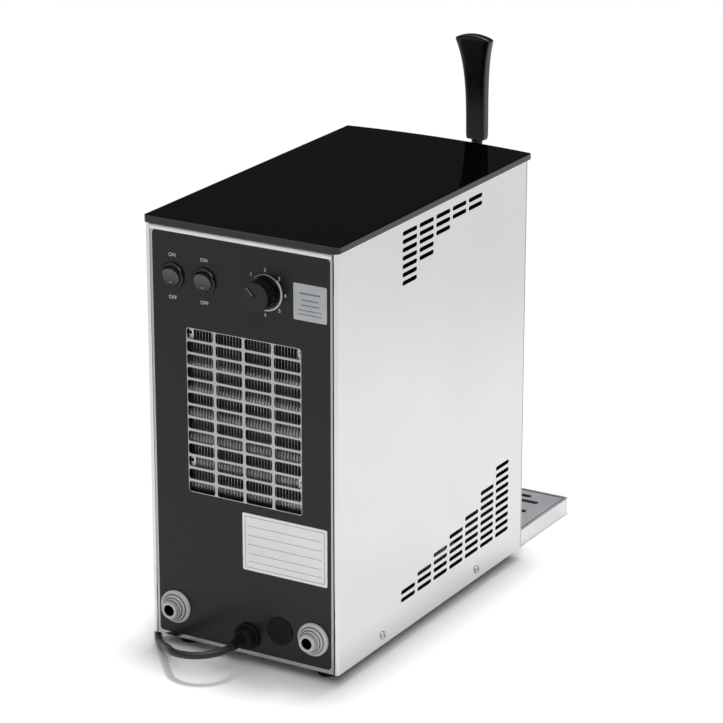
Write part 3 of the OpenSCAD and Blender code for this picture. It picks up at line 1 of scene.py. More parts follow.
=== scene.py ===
"""Looks of a counter-top beer cooler with a tap: finishes, lead, handle, screws, print and labels."""
import json
import logging
import math
from dataclasses import dataclass, field
from enum import Enum

import bpy
from mathutils import Euler, Matrix, Vector


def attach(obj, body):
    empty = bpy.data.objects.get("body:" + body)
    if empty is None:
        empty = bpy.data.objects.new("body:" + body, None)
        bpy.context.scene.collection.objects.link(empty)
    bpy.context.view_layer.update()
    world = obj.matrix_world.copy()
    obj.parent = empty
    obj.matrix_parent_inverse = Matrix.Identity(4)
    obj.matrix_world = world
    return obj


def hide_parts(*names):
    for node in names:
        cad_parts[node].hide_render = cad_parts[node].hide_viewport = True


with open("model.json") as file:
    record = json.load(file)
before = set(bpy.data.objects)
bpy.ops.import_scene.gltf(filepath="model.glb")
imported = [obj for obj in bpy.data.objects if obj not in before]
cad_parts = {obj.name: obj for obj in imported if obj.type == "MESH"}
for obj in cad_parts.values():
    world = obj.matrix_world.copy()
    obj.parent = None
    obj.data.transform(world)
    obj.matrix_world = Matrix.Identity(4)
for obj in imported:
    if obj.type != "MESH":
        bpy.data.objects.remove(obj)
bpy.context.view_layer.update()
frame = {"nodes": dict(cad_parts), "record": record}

MM = 0.001
MERGE_WITHIN = 1e-6
CORNER_STEPS = 5
Point = tuple[float, float, float]
Colour = tuple[float, float, float]

log = logging.getLogger("cooler")


def even(value: float) -> Point:
    """Gives the same value along all three axes."""
    return value, value, value


def mm(*lengths: float) -> tuple[float, ...]:
    """Gives lengths in metres from millimetres."""
    return tuple(length * MM for length in lengths)


class Slot(Enum):
    """Material slots of the part, by the names that the record gives them."""

    STAINLESS = "stainless"
    ZINC = "zinc_sheet"
    FOIL = "foil"
    GLASS = "black_glass"
    RUBBER = "rubber"
    STEEL = "steel"
    BLACK = "black_plastic"
    HANDLE = "handle_black"
    GREY = "grey_plastic"
    CHROME = "chrome"
    BRASS = "brass"
    ALUMINIUM = "aluminium"
    COPPER = "copper"
    WHITE = "white_plastic"
    FOAM = "foam"
    PAINT = "black_paint"
    CORD = "cord"


class Facing(Enum):
    """Turns that lay a flat piece, drawn on the floor, against a face of the cabinet."""

    UP = (0.0, 0.0, 0.0)
    REAR = (math.pi / 2, 0.0, math.pi)
    LEFT = (0.0, math.pi / 2, 0.0)
    RIGHT = (0.0, -math.pi / 2, 0.0)


class Smooth(Enum):
    """Widest angle between faces that is smoothed, in degrees."""

    CRISP = 20.0
    ROUND = 35.0
    BENT = 40.0
    SOFT = 60.0


class Sketch:
    """A node tree that is drawn node by node."""

    def __init__(self, tree: bpy.types.NodeTree) -> None:
        """Starts from an empty tree."""
        self.tree = tree
        tree.nodes.clear()

    def add(self, kind: str, inputs: dict | None = None, **settings: object) -> bpy.types.Node:
        """Adds one node, with its settings and the values or links of its inputs.

        Args:
            kind: type name of the node.
            inputs: values or output sockets, by the name or number of the input.
            settings: properties of the node itself.
        Returns:
            The new node.
        """
        node = self.tree.nodes.new(kind)
        for name, value in settings.items():
            setattr(node, name, value)
        for name, value in (inputs or {}).items():
            if isinstance(value, bpy.types.NodeSocket):
                self.tree.links.new(value, node.inputs[name])
            else:
                node.inputs[name].default_value = value
        return node


class Effects:
    """Shared surface effects, each a shader node group that is built once."""

    @staticmethod
    def _start(name: str, inputs: dict[str, str],
               outputs: list[str]) -> tuple[Sketch, dict, bpy.types.Node]:
        """Begins a node group.

        Args:
            name: name of the group.
            inputs: socket types by input name.
            outputs: names of the value outputs.
        Returns:
            The sketch, the group's input sockets by name, and its output node.
        """
        tree = bpy.data.node_groups.new(name, "ShaderNodeTree")
        for label, kind in inputs.items():
            tree.interface.new_socket(label, in_out="INPUT", socket_type=kind)
        for label in outputs:
            tree.interface.new_socket(label, in_out="OUTPUT", socket_type="NodeSocketFloat")
        sketch = Sketch(tree)
        given = sketch.add("NodeGroupInput")
        result = sketch.add("NodeGroupOutput")
        return sketch, {socket.name: socket for socket in given.outputs if socket.name}, result

    @classmethod
    def grain(cls) -> bpy.types.NodeTree:
        """Fine grain, stretched into brush lines where the three repeats differ.

        Returns:
            The group, with a Height output from 0 to 1.
        """
        known = bpy.data.node_groups.get("fine_grain")
        if known:
            return known
        sketch, given, result = cls._start("fine_grain", {"Repeats": "NodeSocketVector"}, ["Height"])
        place = sketch.add("ShaderNodeTexCoord").outputs["Object"]
        drawn = sketch.add("ShaderNodeVectorMath", {0: place, 1: given["Repeats"]}, operation="MULTIPLY")
        noise = sketch.add("ShaderNodeTexNoise", {
            "Vector": drawn.outputs["Vector"], "Scale": 1.0, "Detail": 3.0, "Roughness": 0.6})
        sketch.tree.links.new(noise.outputs["Fac"], result.inputs["Height"])
        return sketch.tree

    @classmethod
    def handling(cls) -> bpy.types.NodeTree:
        """Soft cloudy patches, as handling and wiping leave them.

        Returns:
            The group, with a Mask output from 0 to 1.
        """
        known = bpy.data.node_groups.get("handling_marks")
        if known:
            return known
        sketch, given, result = cls._start("handling_marks", {"Repeats": "NodeSocketFloat"}, ["Mask"])
        place = sketch.add("ShaderNodeTexCoord").outputs["Object"]
        noise = sketch.add("ShaderNodeTexNoise", {
            "Vector": place, "Scale": given["Repeats"], "Detail": 4.0, "Roughness": 0.55,
            "Distortion": 0.6})
        spread = sketch.add("ShaderNodeMapRange", {
            "Value": noise.outputs["Fac"], "From Min": 0.34, "From Max": 0.66})
        sketch.tree.links.new(spread.outputs["Result"], result.inputs["Mask"])
        return sketch.tree

    @classmethod
    def rubbed(cls) -> bpy.types.NodeTree:
        """Sparse fine rub marks, as on metal that is wiped often.

        Returns:
            The group, with a Mask output that is 1 on the marks.
        """
        known = bpy.data.node_groups.get("rub_marks")
        if known:
            return known
        sketch, given, result = cls._start("rub_marks", {"Repeats": "NodeSocketVector"}, ["Mask"])
        place = sketch.add("ShaderNodeTexCoord").outputs["Object"]
        drawn = sketch.add("ShaderNodeVectorMath", {0: place, 1: given["Repeats"]}, operation="MULTIPLY")
        noise = sketch.add("ShaderNodeTexNoise", {
            "Vector": drawn.outputs["Vector"], "Scale": 1.0, "Detail": 2.0, "Roughness": 0.7})
        cut = sketch.add("ShaderNodeMapRange", {
            "Value": noise.outputs["Fac"], "From Min": 0.6, "From Max": 0.75})
        sketch.tree.links.new(cut.outputs["Result"], result.inputs["Mask"])
        return sketch.tree


@dataclass(frozen=True)
class Finish:
    """A procedural finish: two tones, a range of roughness, fine grain and rub marks."""

    name: str
    tone: Colour
    worn: Colour
    rough: tuple[float, float]
    metallic: float = 0.0
    specular: float = 0.5
    patches: float = 18.0
    grain: Point = even(900.0)
    depth: float = 0.02
    rubs: Point = (700.0, 60.0, 700.0)
    rub: float = 0.0

    def material(self) -> bpy.types.Material:
        """Builds the material, once.

        Returns:
            The material of this finish.
        """
        known = bpy.data.materials.get(self.name)
        if known:
            return known
        made = bpy.data.materials.new(self.name)
        made.use_nodes = True
        sketch = Sketch(made.node_tree)
        wear = sketch.add("ShaderNodeGroup", {"Repeats": self.patches}, node_tree=Effects.handling())
        grain = sketch.add("ShaderNodeGroup", {"Repeats": self.grain}, node_tree=Effects.grain())
        marks = sketch.add("ShaderNodeGroup", {"Repeats": self.rubs}, node_tree=Effects.rubbed())
        colour = sketch.add("ShaderNodeMix", {
            "Factor": wear.outputs["Mask"], "A": (*self.tone, 1.0), "B": (*self.worn, 1.0)},
            data_type="RGBA", blend_type="MIX")
        rough = sketch.add("ShaderNodeMapRange", {
            "Value": wear.outputs["Mask"], "To Min": self.rough[0], "To Max": self.rough[1]})
        roughened = sketch.add("ShaderNodeMath", {
            0: marks.outputs["Mask"], 1: self.rub, 2: rough.outputs["Result"]}, operation="MULTIPLY_ADD")
        bump = sketch.add("ShaderNodeBump", {
            "Strength": 1.0, "Distance": self.depth * MM, "Height": grain.outputs["Height"]})
        shader = sketch.add("ShaderNodeBsdfPrincipled", {
            "Base Color": colour.outputs["Result"], "Roughness": roughened.outputs["Value"],
            "Metallic": self.metallic, "Specular IOR Level": self.specular,
            "Normal": bump.outputs["Normal"]})
        sketch.add("ShaderNodeOutputMaterial", {"Surface": shader.outputs["BSDF"]})
        return made

    def dress(self, piece: bpy.types.Object) -> None:
        """Puts this finish on a piece, in place of what it had."""
        piece.data.materials.clear()
        piece.data.materials.append(self.material())


BRUSH_ALONG = (2600.0, 45.0, 2600.0)
BRUSH_UP = (2600.0, 2600.0, 45.0)

FINISHES: dict[Slot, Finish] = {
    Slot.STAINLESS: Finish(
        "polished_stainless", (0.66, 0.66, 0.67), (0.64, 0.64, 0.65), (0.13, 0.17), metallic=1.0,
        patches=7.0, grain=BRUSH_ALONG, depth=0.0008, rub=0.03),
    Slot.ZINC: Finish(
        "zinc_plate", (0.55, 0.57, 0.60), (0.68, 0.70, 0.72), (0.36, 0.50), metallic=1.0,
        patches=60.0, depth=0.006),
    Slot.FOIL: Finish(
        "printed_foil", (0.0110, 0.0110, 0.0100), (0.0124, 0.0124, 0.0114), (0.30, 0.35), specular=0.25,
        patches=9.0, grain=even(1700.0), depth=0.004),
    Slot.GLASS: Finish(
        "top_glass", even(0.0003), even(0.0004), (0.02, 0.04),
        patches=5.0, grain=even(60.0), depth=0.001),
    Slot.RUBBER: Finish(
        "foot_rubber", even(0.012), (0.022, 0.022, 0.021), (0.62, 0.78), specular=0.3,
        patches=120.0, grain=even(2200.0), depth=0.03),
    Slot.STEEL: Finish(
        "bright_steel", (0.62, 0.62, 0.63), (0.52, 0.52, 0.53), (0.24, 0.36), metallic=1.0,
        patches=80.0, grain=even(1200.0), depth=0.004),
    Slot.BLACK: Finish(
        "black_moulding", (0.0030, 0.0030, 0.0032), even(0.0042), (0.20, 0.28), specular=0.35,
        patches=70.0, grain=even(2400.0), depth=0.008),
    Slot.HANDLE: Finish(
        "handle_lacquer", (0.0006, 0.0007, 0.0007), (0.0009, 0.0010, 0.0010), (0.24, 0.30), specular=0.38,
        patches=40.0, depth=0.004),
    Slot.GREY: Finish(
        "fitting_acetal", (0.50, 0.51, 0.52), (0.46, 0.47, 0.48), (0.30, 0.40),
        patches=90.0, grain=even(2000.0), depth=0.006),
    Slot.CHROME: Finish(
        "tap_chrome", (0.82, 0.83, 0.84), (0.78, 0.79, 0.80), (0.05, 0.12), metallic=1.0,
        patches=30.0, grain=even(500.0), depth=0.001, rub=0.05),
    Slot.BRASS: Finish(
        "nut_brass", (0.66, 0.50, 0.26), (0.58, 0.42, 0.20), (0.22, 0.34), metallic=1.0,
        patches=80.0, grain=even(1500.0), depth=0.005),
    Slot.ALUMINIUM: Finish(
        "fin_aluminium", (0.42, 0.42, 0.41), (0.30, 0.30, 0.29), (0.40, 0.52), metallic=1.0,
        patches=60.0, grain=(1400.0, 1400.0, 120.0), depth=0.006),
    Slot.COPPER: Finish(
        "tube_copper", (0.72, 0.40, 0.26), (0.52, 0.28, 0.18), (0.24, 0.40), metallic=1.0,
        patches=50.0, grain=even(1200.0), depth=0.004),
    Slot.WHITE: Finish(
        "white_moulding", (0.62, 0.62, 0.60), (0.56, 0.56, 0.54), (0.36, 0.46),
        patches=60.0, grain=even(2000.0), depth=0.006),
    Slot.FOAM: Finish(
        "insulating_foam", (0.020, 0.020, 0.021), (0.028, 0.028, 0.029), (0.80, 0.92), specular=0.2,
        patches=90.0, grain=even(500.0), depth=0.3),
    Slot.PAINT: Finish(
        "compressor_paint", (0.008, 0.008, 0.0085), even(0.013), (0.26, 0.36),
        patches=30.0, grain=even(700.0), depth=0.02),
    Slot.CORD: Finish(
        "lead_sheath", even(0.010), even(0.016), (0.42, 0.55), specular=0.4,
        patches=140.0, grain=even(2600.0), depth=0.012),
}
# The same stainless as the sides, with a much darker tone for the darker reflections on the rear: painted
# shade.
DARKENED_REAR_STEEL = Finish(
    "rear_stainless_painted_shade", (0.39, 0.39, 0.38), (0.365, 0.365, 0.355), (0.14, 0.20), metallic=1.0,
    patches=12.0, grain=BRUSH_UP, depth=0.001, rubs=(700.0, 700.0, 60.0), rub=0.04)
TRAY_STEEL = Finish(
    "tray_stainless", even(0.76), even(0.72), (0.40, 0.48), metallic=1.0,
    patches=14.0, grain=BRUSH_ALONG, depth=0.0015, rub=0.05)
GRID_STEEL = Finish(
    "grid_stainless", (0.60, 0.59, 0.63), (0.55, 0.54, 0.58), (0.46, 0.54), metallic=1.0,
    patches=14.0, grain=BRUSH_ALONG, depth=0.0015, rub=0.05)
TRIM_STEEL = Finish(
    "trim_satin", (0.80, 0.80, 0.79), (0.76, 0.76, 0.75), (0.46, 0.54), metallic=0.4,
    patches=14.0, grain=(45.0, 2600.0, 2600.0), depth=0.001, rub=0.04)
PLUG_BLACK = Finish(
    "plug_matt", (0.0036, 0.0036, 0.0038), even(0.0048), (0.50, 0.58), specular=0.15,
    patches=80.0, grain=even(2400.0), depth=0.010)
ROCKER_BLACK = Finish(
    "rocker_satin", even(0.010), even(0.014), (0.34, 0.42), specular=0.7,
    patches=90.0, grain=even(2400.0), depth=0.010)
# Dark grey used as painted shade: the rings in the unions' grooves and the shadow line round the drip
# grid's edge.
SHADE_GREY = Finish(
    "painted_shade_grey", (0.050, 0.050, 0.052), (0.070, 0.070, 0.072), (0.55, 0.65), specular=0.2,
    patches=90.0, grain=even(2400.0), depth=0.010)
# Near-black used as painted shade: inside the collets' bores, over the clips' holes, and on the drip
# tray's floor under the grid.
SHADE_BLACK = Finish(
    "painted_shade_black", even(0.0012), even(0.0018), (0.60, 0.70), specular=0.1,
    patches=200.0, grain=even(2400.0), depth=0.010)
# Silvery tube with its tone raised near white, so that it reads bright in the shade between the fins:
# partly its own colour, partly painted light.
LIGHTENED_TUBE = Finish(
    "tube_painted_light", (0.86, 0.86, 0.84), (0.78, 0.78, 0.76), (0.40, 0.50), metallic=0.3,
    patches=60.0, grain=even(1200.0), depth=0.004)
PRINT_WHITE = Finish(
    "print_white", (0.62, 0.62, 0.60), (0.52, 0.52, 0.50), (0.48, 0.58), specular=0.3,
    patches=160.0, grain=even(2600.0), depth=0.004)
# Dim grey used as a painted highlight: the line of light along the knob's edge.
HIGHLIGHT_GREY = Finish(
    "painted_highlight_grey", (0.110, 0.110, 0.100), (0.080, 0.080, 0.072), (0.48, 0.58), specular=0.3,
    patches=160.0, grain=even(2600.0), depth=0.004)
LABEL_PAPER = Finish(
    "label_paper", (0.84, 0.84, 0.83), (0.80, 0.80, 0.79), (0.50, 0.62), specular=0.3,
    patches=40.0, grain=even(2200.0), depth=0.01)
LABEL_INK = Finish(
    "label_ink", even(0.16), even(0.22), (0.5, 0.6), specular=0.3,
    patches=200.0, grain=even(2600.0), depth=0.004)
SILVER_STICKER = Finish(
    "silver_sticker", (0.45, 0.47, 0.49), (0.39, 0.41, 0.43), (0.36, 0.46), metallic=0.3, specular=0.4,
    patches=50.0, grain=even(2000.0), depth=0.008)
HOOK_TAPE = Finish(
    "hook_tape", (0.014, 0.014, 0.015), (0.022, 0.022, 0.023), (0.75, 0.9), specular=0.2,
    patches=300.0, grain=even(1800.0), depth=0.25)


class Bench:
    """Hand tools: adding, selecting, shaping and finishing meshes with operators."""

    @staticmethod
    def clear() -> None:
        """Leaves edit mode and deselects everything."""
        if bpy.context.object and bpy.context.object.mode != "OBJECT":
            bpy.ops.object.mode_set(mode="OBJECT")
        bpy.ops.object.select_all(action="DESELECT")

    @staticmethod
    def named(name: str) -> bpy.types.Object:
        """Names the active object and its data.

        Args:
            name: the new name.
        Returns:
            The active object.
        """
        piece = bpy.context.object
        piece.name = name
        piece.data.name = name
        return piece

    @staticmethod
    def edit(mode: str) -> None:
        """Enters edit mode with everything deselected.

        Args:
            mode: what is picked there, faces or edges.
        """
        bpy.ops.object.mode_set(mode="EDIT")
        bpy.ops.mesh.select_mode(type=mode)
        bpy.ops.mesh.select_all(action="DESELECT")

    @staticmethod
    def edit_all() -> None:
        """Enters edit mode with everything selected."""
        bpy.ops.object.mode_set(mode="EDIT")
        bpy.ops.mesh.select_all(action="SELECT")

    @staticmethod
    def leave() -> None:
        """Goes back to object mode."""
        bpy.ops.object.mode_set(mode="OBJECT")

    @staticmethod
    def extrude(way: Point) -> None:
        """Extrudes what is selected, by a move in metres."""
        bpy.ops.mesh.extrude_region_move(TRANSFORM_OT_translate={"value": way})

    @staticmethod
    def pick_faces(piece: bpy.types.Object, normal: Point) -> None:
        """Selects the faces that look along a direction, from object mode into face edit mode.

        Args:
            piece: the mesh.
            normal: direction that the picked faces look along.
        """
        least_cosine = 0.9
        Bench.edit("FACE")
        Bench.leave()
        way = Vector(normal)
        for polygon in piece.data.polygons:
            polygon.select = polygon.normal.dot(way) > least_cosine
        bpy.ops.object.mode_set(mode="EDIT")

    @staticmethod
    def pick_edges(piece: bpy.types.Object, longer: float) -> None:
        """Selects the edges that run across, from object mode into edge edit mode.

        Args:
            piece: the mesh.
            longer: length along x that a picked edge goes beyond.
        """
        Bench.edit("EDGE")
        Bench.leave()
        for edge in piece.data.edges:
            ends = [piece.data.vertices[index].co for index in edge.vertices]
            edge.select = abs(ends[0].x - ends[1].x) > longer
        bpy.ops.object.mode_set(mode="EDIT")

    @staticmethod
    def open_end(piece: bpy.types.Object, normal: Point) -> None:
        """Deletes the faces that look along a direction.

        Args:
            piece: the mesh.
            normal: direction that the deleted faces look along.
        """
        Bench.pick_faces(piece, normal)
        bpy.ops.mesh.delete(type="FACE")
        Bench.leave()

    @staticmethod
    def modify(piece: bpy.types.Object, kind: str, **settings: object) -> None:
        """Adds a modifier with its settings and applies it.

        Args:
            piece: the mesh.
            kind: type of the modifier.
            settings: its properties.
        """
        bpy.context.view_layer.objects.active = piece
        added = piece.modifiers.new(kind.lower(), kind)
        for name, value in settings.items():
            setattr(added, name, value)
        bpy.ops.object.modifier_apply(modifier=added.name)

    @staticmethod
    def settle(piece: bpy.types.Object, smooth: Smooth) -> bpy.types.Object:
        """Applies a piece's place, merges doubles, turns its faces outwards and smooths its round faces.

        Args:
            piece: the mesh.
            smooth: how wide an angle is smoothed.
        Returns:
            The piece.
        """
        Bench.clear()
        piece.select_set(True)
        bpy.context.view_layer.objects.active = piece
        bpy.ops.object.transform_apply(location=True, rotation=True, scale=True)
        Bench.edit_all()
        bpy.ops.mesh.remove_doubles(threshold=MERGE_WITHIN)
        bpy.ops.mesh.normals_make_consistent(inside=False)
        Bench.leave()
        bpy.ops.object.shade_smooth_by_angle(angle=math.radians(smooth.value))
        Bench.clear()
        return piece

    @staticmethod
    def join(pieces: list[bpy.types.Object], name: str) -> bpy.types.Object:
        """Joins pieces into one mesh.

        Args:
            pieces: the meshes, the first of which stays.
            name: name of the joined piece.
        Returns:
            The joined piece.
        """
        Bench.clear()
        for piece in pieces:
            piece.select_set(True)
        bpy.context.view_layer.objects.active = pieces[0]
        if len(pieces) > 1:
            bpy.ops.object.join()
        return Bench.named(name)

    @staticmethod
    def copy_at(piece: bpy.types.Object, place: Point, facing: Facing, spin: float) -> bpy.types.Object:
        """Copies a piece with its own mesh onto a face of the cabinet.

        Args:
            piece: the piece to copy, standing on the floor.
            place: where its origin goes, in millimetres.
            facing: the face that it is set on.
            spin: its turn about its own axis.
        Returns:
            The copy.
        """
        made = piece.copy()
        made.data = piece.data.copy()
        bpy.context.scene.collection.objects.link(made)
        lay = Euler(facing.value).to_matrix().to_4x4()
        made.data.transform(Matrix.Translation(mm(*place)) @ lay @ Matrix.Rotation(spin, 4, "Z"))
        return made

    @staticmethod
    def plate(size: tuple[float, float], thick: float, corner: float, place: Point,
              facing: Facing) -> bpy.types.Object:
        """Makes a thin plate with round corners, lying against a face of the cabinet, in millimetres.

        Args:
            size: width and height.
            thick: thickness.
            corner: corner radius, or 0 for square corners.
            place: middle of the plate's back.
            facing: the face that it lies against.
        Returns:
            The plate.
        """
        Bench.clear()
        bpy.ops.mesh.primitive_plane_add(size=1.0)
        plate = bpy.context.object
        plate.scale = (*mm(*size), 1.0)
        bpy.ops.object.transform_apply(scale=True)
        Bench.edit_all()
        if corner > 0.0:
            bpy.ops.mesh.bevel(offset=corner * MM, segments=CORNER_STEPS, affect="VERTICES")
            bpy.ops.mesh.select_all(action="SELECT")
        Bench.extrude((0.0, 0.0, thick * MM))
        Bench.leave()
        plate.rotation_euler = facing.value
        plate.location = mm(*place)
        return Bench.settle(plate, Smooth.CRISP)

    @staticmethod
    def words(text: str, height: float, place: Point, facing: Facing) -> bpy.types.Object:
        """Sets raised print, in millimetres.

        Args:
            text: what it says.
            height: size of the letters.
            place: middle of the print.
            facing: the face that it lies against.
        Returns:
            The print as a mesh.
        """
        raised = 0.03
        bolder = 0.02
        Bench.clear()
        bpy.ops.object.text_add()
        drawn = bpy.context.object
        drawn.data.body = text
        drawn.data.size = height * MM
        drawn.data.align_x = "CENTER"
        drawn.data.align_y = "CENTER"
        drawn.data.extrude = raised * MM
        drawn.data.offset = bolder * MM
        drawn.data.resolution_u = 4
        bpy.ops.object.convert(target="MESH")
        made = bpy.context.object
        made.rotation_euler = facing.value
        made.location = mm(*place)
        return Bench.settle(made, Smooth.CRISP)


@dataclass
class MainsLead:
    """Mains lead: out of the gland, along the cabinet's left side and into a tied coil."""

    diameter: float = 6.2 * MM
    length: float = 1.760
    start: tuple[Point, ...] = (
        (-3.5, 225.3, 26.0), (-3.1, 232.0, 26.0), (0.05, 240.3, 25.6), (9.8, 250.0, 24.8),
        (23.0, 253.5, 23.6), (36.2, 250.0, 21.6), (43.0, 244.6, 19.8), (51.5, 236.0, 16.6),
        (60.0, 227.0, 12.4), (69.0, 217.4, 8.2), (78.0, 207.4, 5.2), (88.0, 194.6, 3.6),
        (98.0, 178.0, 3.2), (105.0, 160.0, 3.2), (109.0, 143.0, 3.2), (110.0, 125.0, 3.2),
        (110.0, 100.0, 3.2), (110.0, 70.0, 3.2), (110.0, 40.0, 3.3), (110.0, 15.0, 3.8),
        (110.0, -5.0, 4.3), (110.0, -14.0, 4.3))
    tail: tuple[Point, ...] = (
        (113.4, -26.0, 11.1), (113.4, -34.0, 11.4), (113.4, -44.0, 12.6), (113.4, -54.0, 14.6),
        (113.4, -64.0, 16.8), (113.4, -74.0, 18.2), (113.4, -83.0, 18.5), (113.4, -92.0, 18.5))
    coil_middle: tuple[float, float] = (157.0, -20.0)
    coil_radius: float = 47.0
    coil_pitch: float = 6.8
    coil_turns: float = 3.0
    coil_low: float = 4.3
    points_a_turn: int = 24
    tie_width: float = 12.0
    tie_low: tuple[float, float] = (3.2, 0.0)
    tie_high: tuple[float, float] = (26.5, 15.6)
    tie_thick: float = 1.0
    tie_corner: float = 2.6
    flap: tuple[float, float] = (13.0, 0.9)
    flap_shift: float = -2.0
    flap_bevel: float = 0.4

    def coil_point(self, turn: float) -> Point:
        """Finds the lead's middle line in the coil.

        Args:
            turn: turns from the start of the coil.
        Returns:
            The point, in millimetres.
        """
        half = 0.5
        inner = self.coil_radius - self.coil_turns * self.coil_pitch
        past = turn - self.coil_turns
        if past <= 0.0:
            radius = self.coil_radius - self.coil_pitch * turn
        elif past <= half:
            radius = inner - self.coil_pitch * min(past, half - past)
        else:
            radius = inner + self.coil_pitch * (past - half)
        angle = math.pi + 2.0 * math.pi * turn
        height = self.coil_low + self.coil_pitch * min(max(past / half, 0.0), 1.0)
        return (self.coil_middle[0] + radius * math.cos(angle),
                self.coil_middle[1] + radius * math.sin(angle), height)

    def route(self) -> list[Vector]:
        """Strings together the lead's points from the gland to the plug.

        Returns:
            The points, in metres.
        """
        steps = round((2.0 * self.coil_turns) * self.points_a_turn)
        coil = [self.coil_point(step / self.points_a_turn) for step in range(steps + 1)]
        return [Vector(point) * MM for point in (*self.start, *coil, *self.tail)]

    def build_lead(self) -> bpy.types.Object:
        """Draws the lead as one smooth curve.

        Returns:
            The curve, with its round section.
        """
        Bench.clear()
        points = self.route()
        drawn = bpy.data.curves.new("mains_lead", "CURVE")
        drawn.dimensions = "3D"
        drawn.bevel_depth = self.diameter / 2.0
        drawn.bevel_resolution = 5
        drawn.resolution_u = 4
        drawn.use_fill_caps = True
        spline = drawn.splines.new("BEZIER")
        spline.bezier_points.add(len(points) - 1)
        for knot, point in zip(spline.bezier_points, points):
            knot.co = point
            knot.handle_left_type = "AUTO"
            knot.handle_right_type = "AUTO"
        lead = bpy.data.objects.new("mains_lead", drawn)
        bpy.context.scene.collection.objects.link(lead)
        return lead

    def build_tie(self) -> bpy.types.Object:
        """Wraps the hook tape round the coil, with its loose end on top.

        Returns:
            The tie.
        """
        Bench.clear()
        low_y, low_z = self.tie_low
        high_y, high_z = self.tie_high
        middle = mm(self.coil_middle[0], (low_y + high_y) / 2.0, (low_z + high_z) / 2.0)
        bpy.ops.mesh.primitive_cube_add(size=1.0, location=middle)
        band = bpy.context.object
        band.scale = mm(self.tie_width, high_y - low_y, high_z - low_z)
        bpy.ops.object.transform_apply(scale=True)
        Bench.pick_edges(band, self.tie_width * MM / 2.0)
        bpy.ops.mesh.bevel(offset=self.tie_corner * MM, segments=CORNER_STEPS, affect="EDGES")
        Bench.leave()
        for way in (1.0, -1.0):
            Bench.open_end(band, (way, 0.0, 0.0))
        Bench.modify(band, "SOLIDIFY", thickness=self.tie_thick * MM, offset=-1.0, use_even_offset=True)
        Bench.clear()
        long, thick = self.flap
        bpy.ops.mesh.primitive_cube_add(
            size=1.0,
            location=(middle[0], middle[1] + self.flap_shift * MM, (high_z + thick / 2.0) * MM))
        flap = bpy.context.object
        flap.scale = mm(self.tie_width, long, thick)
        bpy.ops.object.transform_apply(scale=True)
        Bench.modify(flap, "BEVEL", width=self.flap_bevel * MM, segments=2)
        return Bench.settle(Bench.join([band, flap], "cord_strap"), Smooth.BENT)

    def build(self) -> None:
        """Makes the lead with its tie, and hides the construction's cord pieces in their place."""
        lead = self.build_lead()
        FINISHES[Slot.CORD].dress(lead)
        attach(lead, "cabinet")
        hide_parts("mains_cord", "cord_coil", "cord_tail")
        tie = self.build_tie()
        HOOK_TAPE.dress(tie)
        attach(tie, "cabinet")
        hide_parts("cord_tie")
        log.info("mains lead of %.3f m, tied in a coil", self.length)


